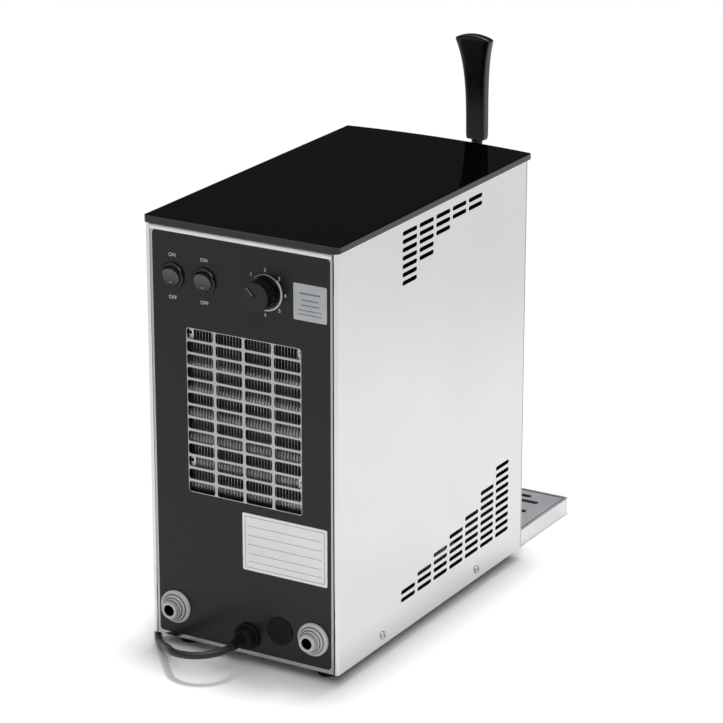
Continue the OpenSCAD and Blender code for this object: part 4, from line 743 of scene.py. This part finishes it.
@dataclass
class TapHandle:
    """Black tap handle: a flat-sided grip on a short neck, flared towards its domed top."""

    foot: Point = (0.0, -181.8, 348.0)
    height: float = 94.2
    width: float = 18.0
    top_width: float = 35.0
    depth: float = 10.4
    lean: float = 7.0
    lean_power: float = 2.5
    arc: float = 3.2
    arc_from: float = 0.6
    levels: int = 22
    corner: float = 0.34
    cuts_across: int = 7
    flare_power: float = 3.6
    foot_share: float = 0.04
    foot_size: float = 0.82
    dome_share: float = 0.016
    dome_reach: float = 1.13
    end_taper: float = 0.25
    top_inset: float = 1.6
    neck: float = 7.0
    neck_radii: tuple[float, float] = (4.7, 5.0)
    neck_round: float = 0.3
    bore: float = 4.05

    def half_sizes(self, part: float) -> tuple[float, float]:
        """Gives half the handle's width and depth at a height.

        Args:
            part: height as a share of the whole.
        Returns:
            Half the width and half the depth, in millimetres.
        """
        end = 1.0
        if part < self.foot_share:
            swell = math.sin(math.pi / 2.0 * part / self.foot_share)
            end = self.foot_size + (1.0 - self.foot_size) * swell
        elif part > 1.0 - self.dome_share:
            past = part - 1.0 + self.dome_share
            end = math.sqrt(1.0 - (past / (self.dome_reach * self.dome_share)) ** 2)
        flare = self.width / 2.0 + (self.top_width - self.width) / 2.0 * part ** self.flare_power
        return flare * (1.0 - self.end_taper + self.end_taper * end), self.depth / 2.0 * end

    def round_top(self, grip: bpy.types.Object) -> None:
        """Lowers the top's two ends, so that the handle ends in an arc.

        Args:
            grip: the handle, standing at the origin.
        """
        for vertex in grip.data.vertices:
            part = min(vertex.co.z / (self.height * MM), 1.0)
            share = max((part - self.arc_from) / (1.0 - self.arc_from), 0.0)
            aside = min(abs(vertex.co.x) / (self.half_sizes(part)[0] * MM), 1.0)
            vertex.co.z -= self.arc * MM * share ** 2 * aside ** 2

    def build_neck(self) -> bpy.types.Object:
        """Turns the hollow neck below the grip, round the tap's stem.

        Returns:
            The neck.
        """
        Bench.clear()
        inset = 0.5
        bpy.ops.mesh.primitive_cone_add(
            vertices=40, radius1=self.neck_radii[0] * MM, radius2=self.neck_radii[1] * MM,
            depth=(self.neck + inset) * MM, location=(0.0, 0.0, (inset - self.neck) / 2.0 * MM))
        neck = bpy.context.object
        bpy.ops.object.transform_apply(location=True)
        Bench.pick_faces(neck, (0.0, 0.0, -1.0))
        bpy.ops.mesh.inset(thickness=(self.neck_radii[0] - self.bore) * MM)
        Bench.extrude((0.0, 0.0, (self.neck - inset) * MM))
        Bench.leave()
        Bench.pick_faces(neck, (0.0, 0.0, 1.0))
        bpy.ops.mesh.bevel(offset=self.neck_round * MM, segments=2, affect="EDGES")
        Bench.leave()
        neck.location = Vector(self.foot) * MM
        return Bench.settle(neck, Smooth.BENT)

    def build(self) -> None:
        """Draws the handle upwards from its foot, ring by ring, and lets it lean back."""
        Bench.clear()
        wide, deep = self.half_sizes(0.0)
        bpy.ops.mesh.primitive_plane_add(size=2.0)
        grip = Bench.named("handle_grip")
        Bench.edit_all()
        bpy.ops.mesh.bevel(offset=self.corner, segments=CORNER_STEPS, affect="VERTICES")
        Bench.leave()
        Bench.pick_edges(grip, 1.0)
        bpy.ops.mesh.subdivide(number_cuts=self.cuts_across)
        bpy.ops.mesh.select_mode(type="FACE")
        bpy.ops.mesh.select_all(action="SELECT")
        bpy.ops.transform.resize(value=(wide * MM, deep * MM, 1.0))
        before = 0.0
        for level in range(1, self.levels):
            part = 0.5 - 0.5 * math.cos(math.pi * level / (self.levels - 1))
            new_wide, new_deep = self.half_sizes(part)
            rise = (part - before) * self.height * MM
            back = self.lean * (part ** self.lean_power - before ** self.lean_power) * MM
            Bench.extrude((0.0, back, rise))
            middle = (0.0, self.lean * part ** self.lean_power * MM, part * self.height * MM)
            bpy.ops.transform.resize(
                value=(new_wide / wide, new_deep / deep, 1.0), center_override=middle)
            wide, deep, before = new_wide, new_deep, part
        bpy.ops.mesh.inset(thickness=self.top_inset * MM)
        Bench.leave()
        self.round_top(grip)
        grip.location = Vector(self.foot) * MM
        Bench.settle(grip, Smooth.SOFT)
        Bench.modify(grip, "SUBSURF", levels=1, render_levels=1)
        grip = Bench.join([grip, self.build_neck()], "handle_grip")
        FINISHES[Slot.HANDLE].dress(grip)
        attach(grip, "tap_lever")
        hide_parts("tap_handle")
        log.info("handle of %.0f mm", self.height)


@dataclass
class Screws:
    """Cross-recessed screws: four, low on the cabinet's sides."""

    side_radius: float = 3.4
    side_x: float = 87.5
    side_places: tuple[tuple[float, float], ...] = ((130.9, 18.5), (-27.8, 18.5))
    side_high: float = 1.6
    rounding: float = 0.3
    recess: Point = (1.15, 0.26, 1.2)
    first_spin: float = 0.4
    next_spin: float = 0.7

    def head(self, radius: float, high: float) -> bpy.types.Object:
        """Turns one screw head and cuts its cross recess.

        Args:
            radius: radius of the head.
            high: height of the head.
        Returns:
            The head, standing on the floor.
        """
        Bench.clear()
        bpy.ops.mesh.primitive_cylinder_add(
            vertices=28, radius=radius * MM, depth=high * MM, location=(0.0, 0.0, high * MM / 2.0))
        head = bpy.context.object
        bpy.ops.object.transform_apply(location=True)
        Bench.pick_faces(head, (0.0, 0.0, 1.0))
        bpy.ops.mesh.bevel(offset=self.rounding * radius * MM, segments=4, affect="EDGES")
        Bench.leave()
        long, wide, deep = self.recess
        cutters = []
        for turn in (0.0, math.pi / 2.0):
            Bench.clear()
            bpy.ops.mesh.primitive_cube_add(size=1.0, location=(0.0, 0.0, high * MM))
            bar = bpy.context.object
            bar.scale = mm(long * radius, wide * radius, deep * high)
            bar.rotation_euler = (0.0, 0.0, turn)
            bpy.ops.object.transform_apply(location=True, rotation=True, scale=True)
            cutters.append(bar)
        for bar in cutters:
            Bench.modify(head, "BOOLEAN", object=bar, operation="DIFFERENCE", solver="EXACT")
            bpy.data.objects.remove(bar)
        return head

    def build_side(self) -> bpy.types.Object:
        """Sets the four side screws.

        Returns:
            The screws as one piece.
        """
        head = self.head(self.side_radius, self.side_high)
        made = []
        for place, (depth, high) in enumerate(self.side_places):
            spin = self.first_spin + self.next_spin * place
            for side, facing in ((1.0, Facing.LEFT), (-1.0, Facing.RIGHT)):
                made.append(Bench.copy_at(head, (side * self.side_x, depth, high), facing, spin))
        bpy.data.objects.remove(head)
        return Bench.settle(Bench.join(made, "side_screw_heads"), Smooth.ROUND)

    def build(self) -> None:
        """Makes and dresses the screws."""
        side = self.build_side()
        FINISHES[Slot.STEEL].dress(side)
        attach(side, "cabinet")
        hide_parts("panel_screws")
        log.info("screw heads on the sides")


@dataclass
class RearPrint:
    """Print on the rear foil: switch positions, the thermostat's scale, and bare labels."""

    surface: float = 201.42
    switches: tuple[float, float] = (62.5, 33.0)
    on_high: float = 335.5
    off_high: float = 300.6
    word_size: float = 4.3
    knob: tuple[float, float] = (-23.0, 318.5)
    number_radius: float = 18.2
    number_size: float = 4.3
    wedge_radius: float = 14.0
    wedge_thin: float = 0.20
    wedge_thick: float = 1.8
    wedge_high: float = 0.06
    wedge_steps: int = 72
    first_angle: float = 135.0
    angle_step: float = 45.0
    numbers: int = 7
    sticker: tuple[float, float, float, float] = (-63.5, 316.2, 29.9, 29.5)
    label: tuple[float, float, float, float] = (-38.8, 107.8, 78.3, 48.5)
    label_sunk: float = 0.04
    label_thick: float = 0.16
    label_corner: float = 1.2
    label_rules: tuple[float, ...] = (0.28, 0.12, -0.04, -0.20, -0.34)
    rule_width: float = 0.35
    rule_inset: float = 2.6
    rule_thick: float = 0.05
    rule_above: float = 0.11
    sticker_rules: tuple[tuple[float, float, float], ...] = (
        (0.24, 0.62, 1.4), (0.06, 0.50, 1.0), (-0.08, 0.56, 1.0), (-0.22, 0.70, 0.8), (-0.33, 0.70, 0.8))

    def on_dial(self, radius: float, angle: float) -> tuple[float, float]:
        """Finds a place on the thermostat's scale, as seen from behind.

        Args:
            radius: distance from the knob's axis.
            angle: angle from the right, in degrees.
        Returns:
            The place across and up, in millimetres.
        """
        turn = math.radians(angle)
        return self.knob[0] - radius * math.cos(turn), self.knob[1] + radius * math.sin(turn)

    def build_words(self) -> bpy.types.Object:
        """Prints the switch positions and the scale's numbers.

        Returns:
            The print as one piece.
        """
        made = []
        for across in self.switches:
            for word, high in (("ON", self.on_high), ("OFF", self.off_high)):
                place = (across, self.surface, high)
                made.append(Bench.words(word, self.word_size, place, Facing.REAR))
        for number in range(self.numbers):
            across, high = self.on_dial(self.number_radius, self.first_angle - self.angle_step * number)
            place = (across, self.surface, high)
            made.append(Bench.words(str(number + 1), self.number_size, place, Facing.REAR))
        return Bench.join(made, "rear_print")

    def build_wedge(self) -> bpy.types.Object:
        """Prints the arc round the knob that thickens from the first number to the last.

        Returns:
            The arc.
        """
        Bench.clear()
        sweep = math.radians(self.angle_step * (self.numbers - 1))
        bpy.ops.mesh.primitive_plane_add(size=1.0)
        arc = Bench.named("scale_wedge")
        start = math.radians(180.0 - self.first_angle)
        bpy.ops.object.mode_set(mode="EDIT")
        bpy.ops.mesh.select_mode(type="EDGE")
        Bench.leave()
        inner, outer = self.wedge_radius, self.wedge_radius + self.wedge_thin
        for vertex in arc.data.vertices:
            reach = outer if vertex.co.x > 0.0 else inner
            vertex.co = (reach * math.cos(start) * MM, 0.0, reach * math.sin(start) * MM)
        Bench.edit_all()
        bpy.ops.mesh.remove_doubles(threshold=MERGE_WITHIN)
        bpy.ops.mesh.spin(
            steps=self.wedge_steps, angle=sweep, center=(0.0, 0.0, 0.0), axis=(0.0, 1.0, 0.0))
        Bench.leave()
        middle = self.wedge_radius + self.wedge_thin / 2.0
        for vertex in arc.data.vertices:
            radius = math.hypot(vertex.co.x, vertex.co.z) / MM
            turned = (start - math.atan2(vertex.co.z, vertex.co.x)) % (2.0 * math.pi)
            if turned > 1.5 * math.pi:
                turned = 2.0 * math.pi - turned
            share = min(turned / sweep, 1.0)
            if radius > middle:
                grown = outer + (self.wedge_thick - self.wedge_thin) * share
                vertex.co = vertex.co * (grown / radius)
        Bench.edit_all()
        Bench.extrude((0.0, self.wedge_high * MM, 0.0))
        Bench.leave()
        arc.location = mm(self.knob[0], self.surface - self.wedge_high / 2.0, self.knob[1])
        return Bench.settle(arc, Smooth.CRISP)

    def build_label(self, spot: tuple[float, float, float, float], name: str) -> bpy.types.Object:
        """Lays a bare label on the foil.

        Args:
            spot: middle across and up, width and height.
            name: name of the piece.
        Returns:
            The label.
        """
        across, up, wide, high = spot
        place = (across, self.surface - self.label_sunk, up)
        plate = Bench.plate((wide, high), self.label_thick, self.label_corner, place, Facing.REAR)
        return Bench.join([plate], name)

    def line(self, across: float, up: float, wide: float, high: float) -> bpy.types.Object:
        """Rules one line on a label.

        Args:
            across: middle of the line across the panel.
            up: its height.
            wide: its width.
            high: its thickness up the panel.
        Returns:
            The line.
        """
        place = (across, self.surface + self.rule_above, up)
        return Bench.plate((wide, high), self.rule_thick, 0.0, place, Facing.REAR)

    def build_rules(self) -> bpy.types.Object:
        """Rules a plain frame and empty rows on the white label.

        Returns:
            The ruled lines as one piece.
        """
        across, up, wide, high = self.label
        inset = self.rule_inset
        made = []
        for side in (-1.0, 1.0):
            edge_up = up + side * (high / 2.0 - inset)
            made.append(self.line(across, edge_up, wide - 2.0 * inset, self.rule_width))
            edge_across = across + side * (wide / 2.0 - inset)
            made.append(self.line(edge_across, up, self.rule_width, high - 2.0 * inset))
        for share in self.label_rules:
            made.append(self.line(across, up + share * high, wide - 4.0 * inset, self.rule_width))
        return Bench.join(made, "label_rules")

    def build_bars(self) -> bpy.types.Object:
        """Rules blank bars on the silver label.

        Returns:
            The bars as one piece.
        """
        across, up, wide, high = self.sticker
        made = [self.line(across, up + place * high, wide * share, thick)
                for place, share, thick in self.sticker_rules]
        return Bench.join(made, "sticker_bars")

    def build(self) -> None:
        """Makes and dresses the print and the labels."""
        pieces = (
            (self.build_words(), PRINT_WHITE), (self.build_wedge(), PRINT_WHITE),
            (self.build_label(self.sticker, "silver_label"), SILVER_STICKER),
            (self.build_bars(), LABEL_INK),
            (self.build_label(self.label, "white_label"), LABEL_PAPER),
            (self.build_rules(), LABEL_INK))
        for piece, finish in pieces:
            finish.dress(piece)
            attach(piece, "cabinet")
            log.info("print: %s", piece.name)


@dataclass
class ControlMarks:
    """Marks on the moving controls: a white printed spot on each rocker, and a dim grey line on the
    knob's pointer that is a painted highlight.
    """

    rockers: dict[str, float] = field(default_factory=lambda: {
        "rocker_cooling": 62.5, "rocker_pump": 33.0})
    rocker_y: float = 201.6
    rocker_z: float = 318.5
    rocker_tilt: float = 10.0
    hollow_radius: float = 17.8
    dip: float = 2.6
    spot_low: float = 4.6
    spot_radius: float = 1.0
    spot_ring: float = 0.45
    mark_thick: float = 0.12
    knob: Point = (-23.0, 201.9, 318.5)
    knob_high: float = 15.7
    line_reach: tuple[float, float] = (2.4, 10.2)
    line_width: float = 1.3
    line_corner: float = 0.3
    line_sunk: float = 0.05
    line_angle: float = -45.0

    def build_spot(self, name: str, across: float) -> bpy.types.Object:
        """Lays a ring-shaped mark on the pressed end of a rocker.

        Args:
            name: name of the rocker.
            across: the rocker's place across the panel.
        Returns:
            The mark.
        """
        Bench.clear()
        bpy.ops.mesh.primitive_circle_add(vertices=28, radius=self.spot_radius * MM, fill_type="NGON")
        spot = Bench.named(name + "_mark")
        Bench.edit_all()
        bpy.ops.mesh.inset(thickness=self.spot_ring * MM)
        bpy.ops.mesh.delete(type="FACE")
        bpy.ops.mesh.select_all(action="SELECT")
        Bench.extrude((0.0, 0.0, self.mark_thick * MM))
        Bench.leave()
        low = -self.spot_low
        slope = math.asin(low / self.hollow_radius)
        face = self.dip + self.hollow_radius * (1.0 - math.cos(slope))
        lay = Matrix.Rotation(slope, 4, "X") @ Matrix.Rotation(-math.pi / 2.0, 4, "X")
        local = Matrix.Translation(mm(0.0, face, low)) @ lay
        tilt = Matrix.Rotation(math.radians(-self.rocker_tilt), 4, "X")
        place = Matrix.Translation(mm(across, self.rocker_y, self.rocker_z))
        spot.data.transform(place @ tilt @ local)
        return Bench.settle(spot, Smooth.CRISP)

    def build_highlight(self) -> bpy.types.Object:
        """Lays the dim grey line on the knob's pointer, a painted highlight along its edge.

        Returns:
            The line.
        """
        first, last = self.line_reach
        middle = (first + last) / 2.0
        plate = Bench.plate((last - first, self.line_width), self.mark_thick, self.line_corner,
                            (0.0, 0.0, 0.0), Facing.REAR)
        turn = Matrix.Rotation(math.radians(self.line_angle), 4, "Y")
        face = self.knob[1] + self.knob_high - self.line_sunk
        place = Matrix.Translation(Vector((self.knob[0], face, self.knob[2])) * MM)
        plate.data.transform(place @ turn @ Matrix.Translation((middle * MM, 0.0, 0.0)))
        return Bench.join([plate], "knob_painted_highlight")

    def build(self) -> None:
        """Makes and dresses the printed spots and the painted highlight."""
        for name, across in self.rockers.items():
            spot = self.build_spot(name, across)
            PRINT_WHITE.dress(spot)
            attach(spot, name)
        line = self.build_highlight()
        HIGHLIGHT_GREY.dress(line)
        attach(line, "thermostat_knob")
        log.info("printed marks on the rockers and painted highlight on the knob")


@dataclass
class HoseFittings:
    """Black sleeves inside the two push-fit collets that paint the shade of their bores, and dark rings
    of painted shade in the unions' grooves.
    """

    places: dict[str, float] = field(default_factory=lambda: {"collet_drink": -65.0, "collet_air": 65.0})
    high: float = 37.0
    span: tuple[float, float] = (198.8, 212.1)
    radius: float = 4.77
    wall: float = 0.05
    groove_shade: tuple[tuple[float, float, float], ...] = (
        (11.05, 204.72, 0.36), (9.05, 206.70, 0.34), (7.9, 208.72, 0.24))
    groove_flat: float = 0.6

    def build_shade_ring(self, across: float, radius: float, depth: float,
                     thick: float) -> bpy.types.Object:
        """Makes the dark ring of painted shade in one groove.

        Args:
            across: place of the union across the panel.
            radius: radius of the groove.
            depth: its distance behind the cabinet's middle.
            thick: half the width of the groove.
        Returns:
            The ring.
        """
        Bench.clear()
        bpy.ops.mesh.primitive_torus_add(
            major_segments=64, minor_segments=10, major_radius=radius * MM, minor_radius=thick * MM)
        ring = bpy.context.object
        ring.scale = (1.0, 1.0, self.groove_flat)
        ring.rotation_euler = (math.pi / 2.0, 0.0, 0.0)
        ring.location = mm(across, depth, self.high)
        return Bench.settle(ring, Smooth.SOFT)

    def build_sleeve(self, name: str, across: float) -> bpy.types.Object:
        """Makes one open black sleeve, painted shade inside the collet's bore.

        Args:
            name: name of the collet that it sits in.
            across: place of the collet across the panel.
        Returns:
            The sleeve.
        """
        Bench.clear()
        bpy.ops.mesh.primitive_cylinder_add(
            vertices=48, radius=self.radius * MM, depth=(self.span[1] - self.span[0]) * MM)
        sleeve = Bench.named(name + "_bore_shade")
        for way in (1.0, -1.0):
            Bench.open_end(sleeve, (0.0, 0.0, way))
        Bench.modify(sleeve, "SOLIDIFY", thickness=self.wall * MM, offset=-1.0)
        sleeve.rotation_euler = (math.pi / 2.0, 0.0, 0.0)
        sleeve.location = mm(across, sum(self.span) / 2.0, self.high)
        return Bench.settle(sleeve, Smooth.ROUND)

    def build(self) -> None:
        """Makes and dresses the sleeves and the groove rings, both painted shade."""
        for name, across in self.places.items():
            sleeve = self.build_sleeve(name, across)
            SHADE_BLACK.dress(sleeve)
            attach(sleeve, name)
        rings = [self.build_shade_ring(across, *groove)
                 for across in self.places.values() for groove in self.groove_shade]
        groove_shade = Bench.join(rings, "union_groove_shade")
        SHADE_GREY.dress(groove_shade)
        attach(groove_shade, "cabinet")
        log.info("painted shade in the hose fittings' bores and grooves")


@dataclass
class SmallFittings:
    """Faces of the condenser's clips with dark discs of painted shade over their holes, a black sheet of
    painted shade on the drip tray's floor, and a painted shadow line round the grid's edge.
    """

    clip_x: tuple[tuple[float, float], ...] = ((-52.15, -52.9), (48.15, 48.9))
    clip_z: tuple[float, float] = (166.0, 273.0)
    clip_y: float = 197.7
    clip_size: tuple[float, float] = (4.2, 9.4)
    clip_corner: float = 0.5
    clip_thick: float = 0.08
    hole_radius: float = 1.5
    hole_round: float = 0.99
    hole_thick: float = 0.04
    tray_shade: tuple[float, float] = (133.0, 100.0)
    tray_shade_place: Point = (0.0, -170.3, 1.25)
    tray_shade_thick: float = 0.3
    tray_shade_corner: float = 6.0
    edge: tuple[float, float] = (143.2, 103.2)
    edge_high: float = 14.0
    edge_width: float = 0.7
    edge_corner: float = 3.0
    edge_thick: float = 0.06
    edge_sunk: float = 0.02

    def build_clips(self) -> tuple[bpy.types.Object, bpy.types.Object]:
        """Lays a thin bright face on each clip and a dark disc of painted shade where its hole is.

        Returns:
            The four faces as one piece, and the four discs as another.
        """
        faces, holes = [], []
        wide = 2.0 * self.hole_radius
        corner = self.hole_radius * self.hole_round
        for across, hole in self.clip_x:
            for high in self.clip_z:
                place = (across, self.clip_y, high)
                faces.append(Bench.plate(
                    self.clip_size, self.clip_thick, self.clip_corner, place, Facing.REAR))
                place = (hole, self.clip_y + self.clip_thick, high)
                holes.append(Bench.plate((wide, wide), self.hole_thick, corner, place, Facing.REAR))
        return Bench.join(faces, "clip_faces"), Bench.join(holes, "clip_hole_shade")

    def build_tray_shade(self) -> bpy.types.Object:
        """Lays a black sheet on the tray's floor, painted shade seen through the grid's slots.

        Returns:
            The sheet.
        """
        plate = Bench.plate(
            self.tray_shade, self.tray_shade_thick, self.tray_shade_corner, self.tray_shade_place, Facing.UP)
        return Bench.join([plate], "tray_floor_shade")

    def build_edge_shadow(self) -> bpy.types.Object:
        """Draws the dark line along the grid's edge, a painted shadow of the gap between grid and tray.

        Returns:
            The line.
        """
        Bench.clear()
        bpy.ops.mesh.primitive_plane_add(size=1.0)
        line = Bench.named("grid_edge_shadow")
        line.scale = (*mm(*self.edge), 1.0)
        bpy.ops.object.transform_apply(scale=True)
        Bench.edit_all()
        bpy.ops.mesh.bevel(offset=self.edge_corner * MM, segments=CORNER_STEPS, affect="VERTICES")
        bpy.ops.mesh.select_mode(type="FACE")
        bpy.ops.mesh.select_all(action="SELECT")
        bpy.ops.mesh.inset(thickness=self.edge_width * MM)
        bpy.ops.mesh.delete(type="FACE")
        bpy.ops.mesh.select_all(action="SELECT")
        Bench.extrude((0.0, 0.0, self.edge_thick * MM))
        Bench.leave()
        line.location = mm(0.0, self.tray_shade_place[1], self.edge_high - self.edge_sunk)
        return Bench.settle(line, Smooth.CRISP)

    def build(self) -> None:
        """Makes and dresses the faces, the discs of painted shade, the tray's sheet of painted shade and
        the painted shadow line.
        """
        faces, holes = self.build_clips()
        tray_shade = self.build_tray_shade()
        edge = self.build_edge_shadow()
        for piece, finish, body, slot in (
                (faces, TRIM_STEEL, "cabinet", Slot.STAINLESS),
                (holes, SHADE_BLACK, "cabinet", Slot.PAINT),
                (tray_shade, SHADE_BLACK, "drip_tray", Slot.RUBBER),
                (edge, SHADE_GREY, "drip_grid", Slot.STAINLESS)):
            finish.dress(piece)
            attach(piece, body)
            log.info("fitting: %s", piece.name)


@dataclass
class CabinetDress:
    """Finishes of the pieces that keep their shape from the construction."""

    own: dict[str, Finish] = field(default_factory=lambda: {
        # The rear panel's darker steel is painted shade, and the condenser tube's near-white tone is
        # partly painted light.
        "rear_panel": DARKENED_REAR_STEEL, "rear_trim": TRIM_STEEL, "condenser_tube": LIGHTENED_TUBE,
        "drip_tray": TRAY_STEEL, "drip_grid": GRID_STEEL, "grid_rails": GRID_STEEL,
        "blanking_plug": PLUG_BLACK, "cable_gland": PLUG_BLACK,
        "rocker_cooling": ROCKER_BLACK, "rocker_pump": ROCKER_BLACK})

    def build(self) -> None:
        """Dresses each carried-over piece by its slot, or by its own finish."""
        slots = {part["node"]: part["material_slot"] for part in self.parts()}
        for name, node in frame["nodes"].items():
            finish = self.own.get(name, FINISHES[Slot(slots[name])])
            finish.dress(node)
            log.info("%s in %s", name, finish.name)

    @staticmethod
    def parts() -> list[dict]:
        """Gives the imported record's list of pieces."""
        return frame["record"]["subparts"]


@dataclass
class Studio:
    """White floor all round, a bright dome overhead, two soft lamps and the camera."""

    eye: Point = (-1.2819, 2.1996, 1.0809)
    target: Point = (-0.0091, 0.0313, 0.2090)
    lens: float = 160.53
    sensor: float = 36.0
    sight: float = 100.0
    floor_size: float = 24.0
    floor_low: float = -0.0004
    floor_tone: float = 0.86
    floor_far: tuple[float, float] = (0.55, 1.1)
    lamps: tuple[tuple[str, Point, float, float], ...] = (
        ("lamp_key", (-1.6, 2.2, 2.4), 1.4, 22.0), ("lamp_top", (0.0, -0.05, 3.0), 0.35, 52.0))
    sky_low: float = 0.045
    sky_high: float = 1.75
    sky_band: tuple[float, float] = (0.45, 0.95)

    def aimed(self, name: str, data: bpy.types.ID, place: Point) -> bpy.types.Object:
        """Sets up a lamp or the camera, aimed at the middle of the object.

        Args:
            name: name of the object.
            data: the lamp or the camera.
            place: where it stands, in metres.
        Returns:
            The new object.
        """
        made = bpy.data.objects.new(name, data)
        made.location = place
        aim = Vector(self.target) - Vector(place)
        made.rotation_euler = aim.to_track_quat("-Z", "Y").to_euler()
        bpy.context.scene.collection.objects.link(made)
        return made

    def build_floor(self) -> None:
        """Lays the floor: it keeps the shadow, and further off is white to the eye and in metal."""
        Bench.clear()
        bpy.ops.mesh.primitive_plane_add(size=self.floor_size, location=(0.0, 0.0, self.floor_low))
        floor = Bench.named("floor")
        made = bpy.data.materials.new("floor_white")
        made.use_nodes = True
        sketch = Sketch(made.node_tree)
        place = sketch.add("ShaderNodeTexCoord").outputs["Object"]
        matt = sketch.add("ShaderNodeBsdfDiffuse", {"Color": (*even(self.floor_tone), 1.0)})
        away = sketch.add("ShaderNodeVectorMath", {0: place}, operation="LENGTH")
        far = sketch.add("ShaderNodeMapRange", {
            "Value": away.outputs["Value"],
            "From Min": self.floor_far[0], "From Max": self.floor_far[1]},
            interpolation_type="SMOOTHSTEP")
        ray = sketch.add("ShaderNodeLightPath").outputs
        straight = sketch.add("ShaderNodeMath", {
            0: ray["Is Camera Ray"], 1: ray["Is Glossy Ray"]}, operation="MAXIMUM")
        seen = sketch.add("ShaderNodeMath", {
            0: straight.outputs["Value"], 1: ray["Is Transmission Ray"]}, operation="MAXIMUM")
        share = sketch.add("ShaderNodeMath", {
            0: far.outputs["Result"], 1: seen.outputs["Value"]}, operation="MULTIPLY")
        white = sketch.add("ShaderNodeEmission", {"Strength": 1.0})
        mixed = sketch.add("ShaderNodeMixShader", {
            "Fac": share.outputs["Value"], 1: matt.outputs["BSDF"], 2: white.outputs["Emission"]})
        sketch.add("ShaderNodeOutputMaterial", {"Surface": mixed.outputs["Shader"]})
        floor.data.materials.append(made)

    def build_lamps(self) -> None:
        """Hangs the soft lamps."""
        for name, place, size, power in self.lamps:
            lamp = bpy.data.lights.new(name, "AREA")
            lamp.size = size
            lamp.energy = power
            self.aimed(name, lamp, place)

    def build_sky(self) -> None:
        """Makes a plain sky that is dim near the floor and brighter overhead."""
        sky = bpy.data.worlds.new("studio_sky")
        bpy.context.scene.world = sky
        sky.use_nodes = True
        sketch = Sketch(sky.node_tree)
        way = sketch.add("ShaderNodeTexCoord").outputs["Generated"]
        parts = sketch.add("ShaderNodeSeparateXYZ", {"Vector": way})
        level = sketch.add("ShaderNodeMapRange", {
            "Value": parts.outputs["Z"], "From Min": self.sky_band[0], "From Max": self.sky_band[1],
            "To Min": self.sky_low, "To Max": self.sky_high}, interpolation_type="SMOOTHSTEP")
        back = sketch.add("ShaderNodeBackground", {"Strength": level.outputs["Result"]})
        sketch.add("ShaderNodeOutputWorld", {"Surface": back.outputs["Background"]})

    def build_camera(self) -> None:
        """Sets the camera at the photograph's viewing angle."""
        seen = bpy.data.cameras.new("camera")
        seen.lens = self.lens
        seen.sensor_fit = "HORIZONTAL"
        seen.sensor_width = self.sensor
        seen.clip_end = self.sight
        bpy.context.scene.camera = self.aimed("camera", seen, self.eye)

    def build(self) -> None:
        """Sets up the whole studio."""
        self.build_camera()
        self.build_floor()
        self.build_lamps()
        self.build_sky()
        bpy.context.scene.view_settings.view_transform = "Standard"
        log.info("studio with %d lamps", len(self.lamps))


def main() -> None:
    """Builds the sub-assemblies in order."""
    logging.basicConfig(level=logging.INFO, format="%(name)s: %(message)s")
    Studio().build()
    CabinetDress().build()
    MainsLead().build()
    TapHandle().build()
    Screws().build()
    RearPrint().build()
    ControlMarks().build()
    HoseFittings().build()
    SmallFittings().build()


if __name__ == "__main__":
    main()
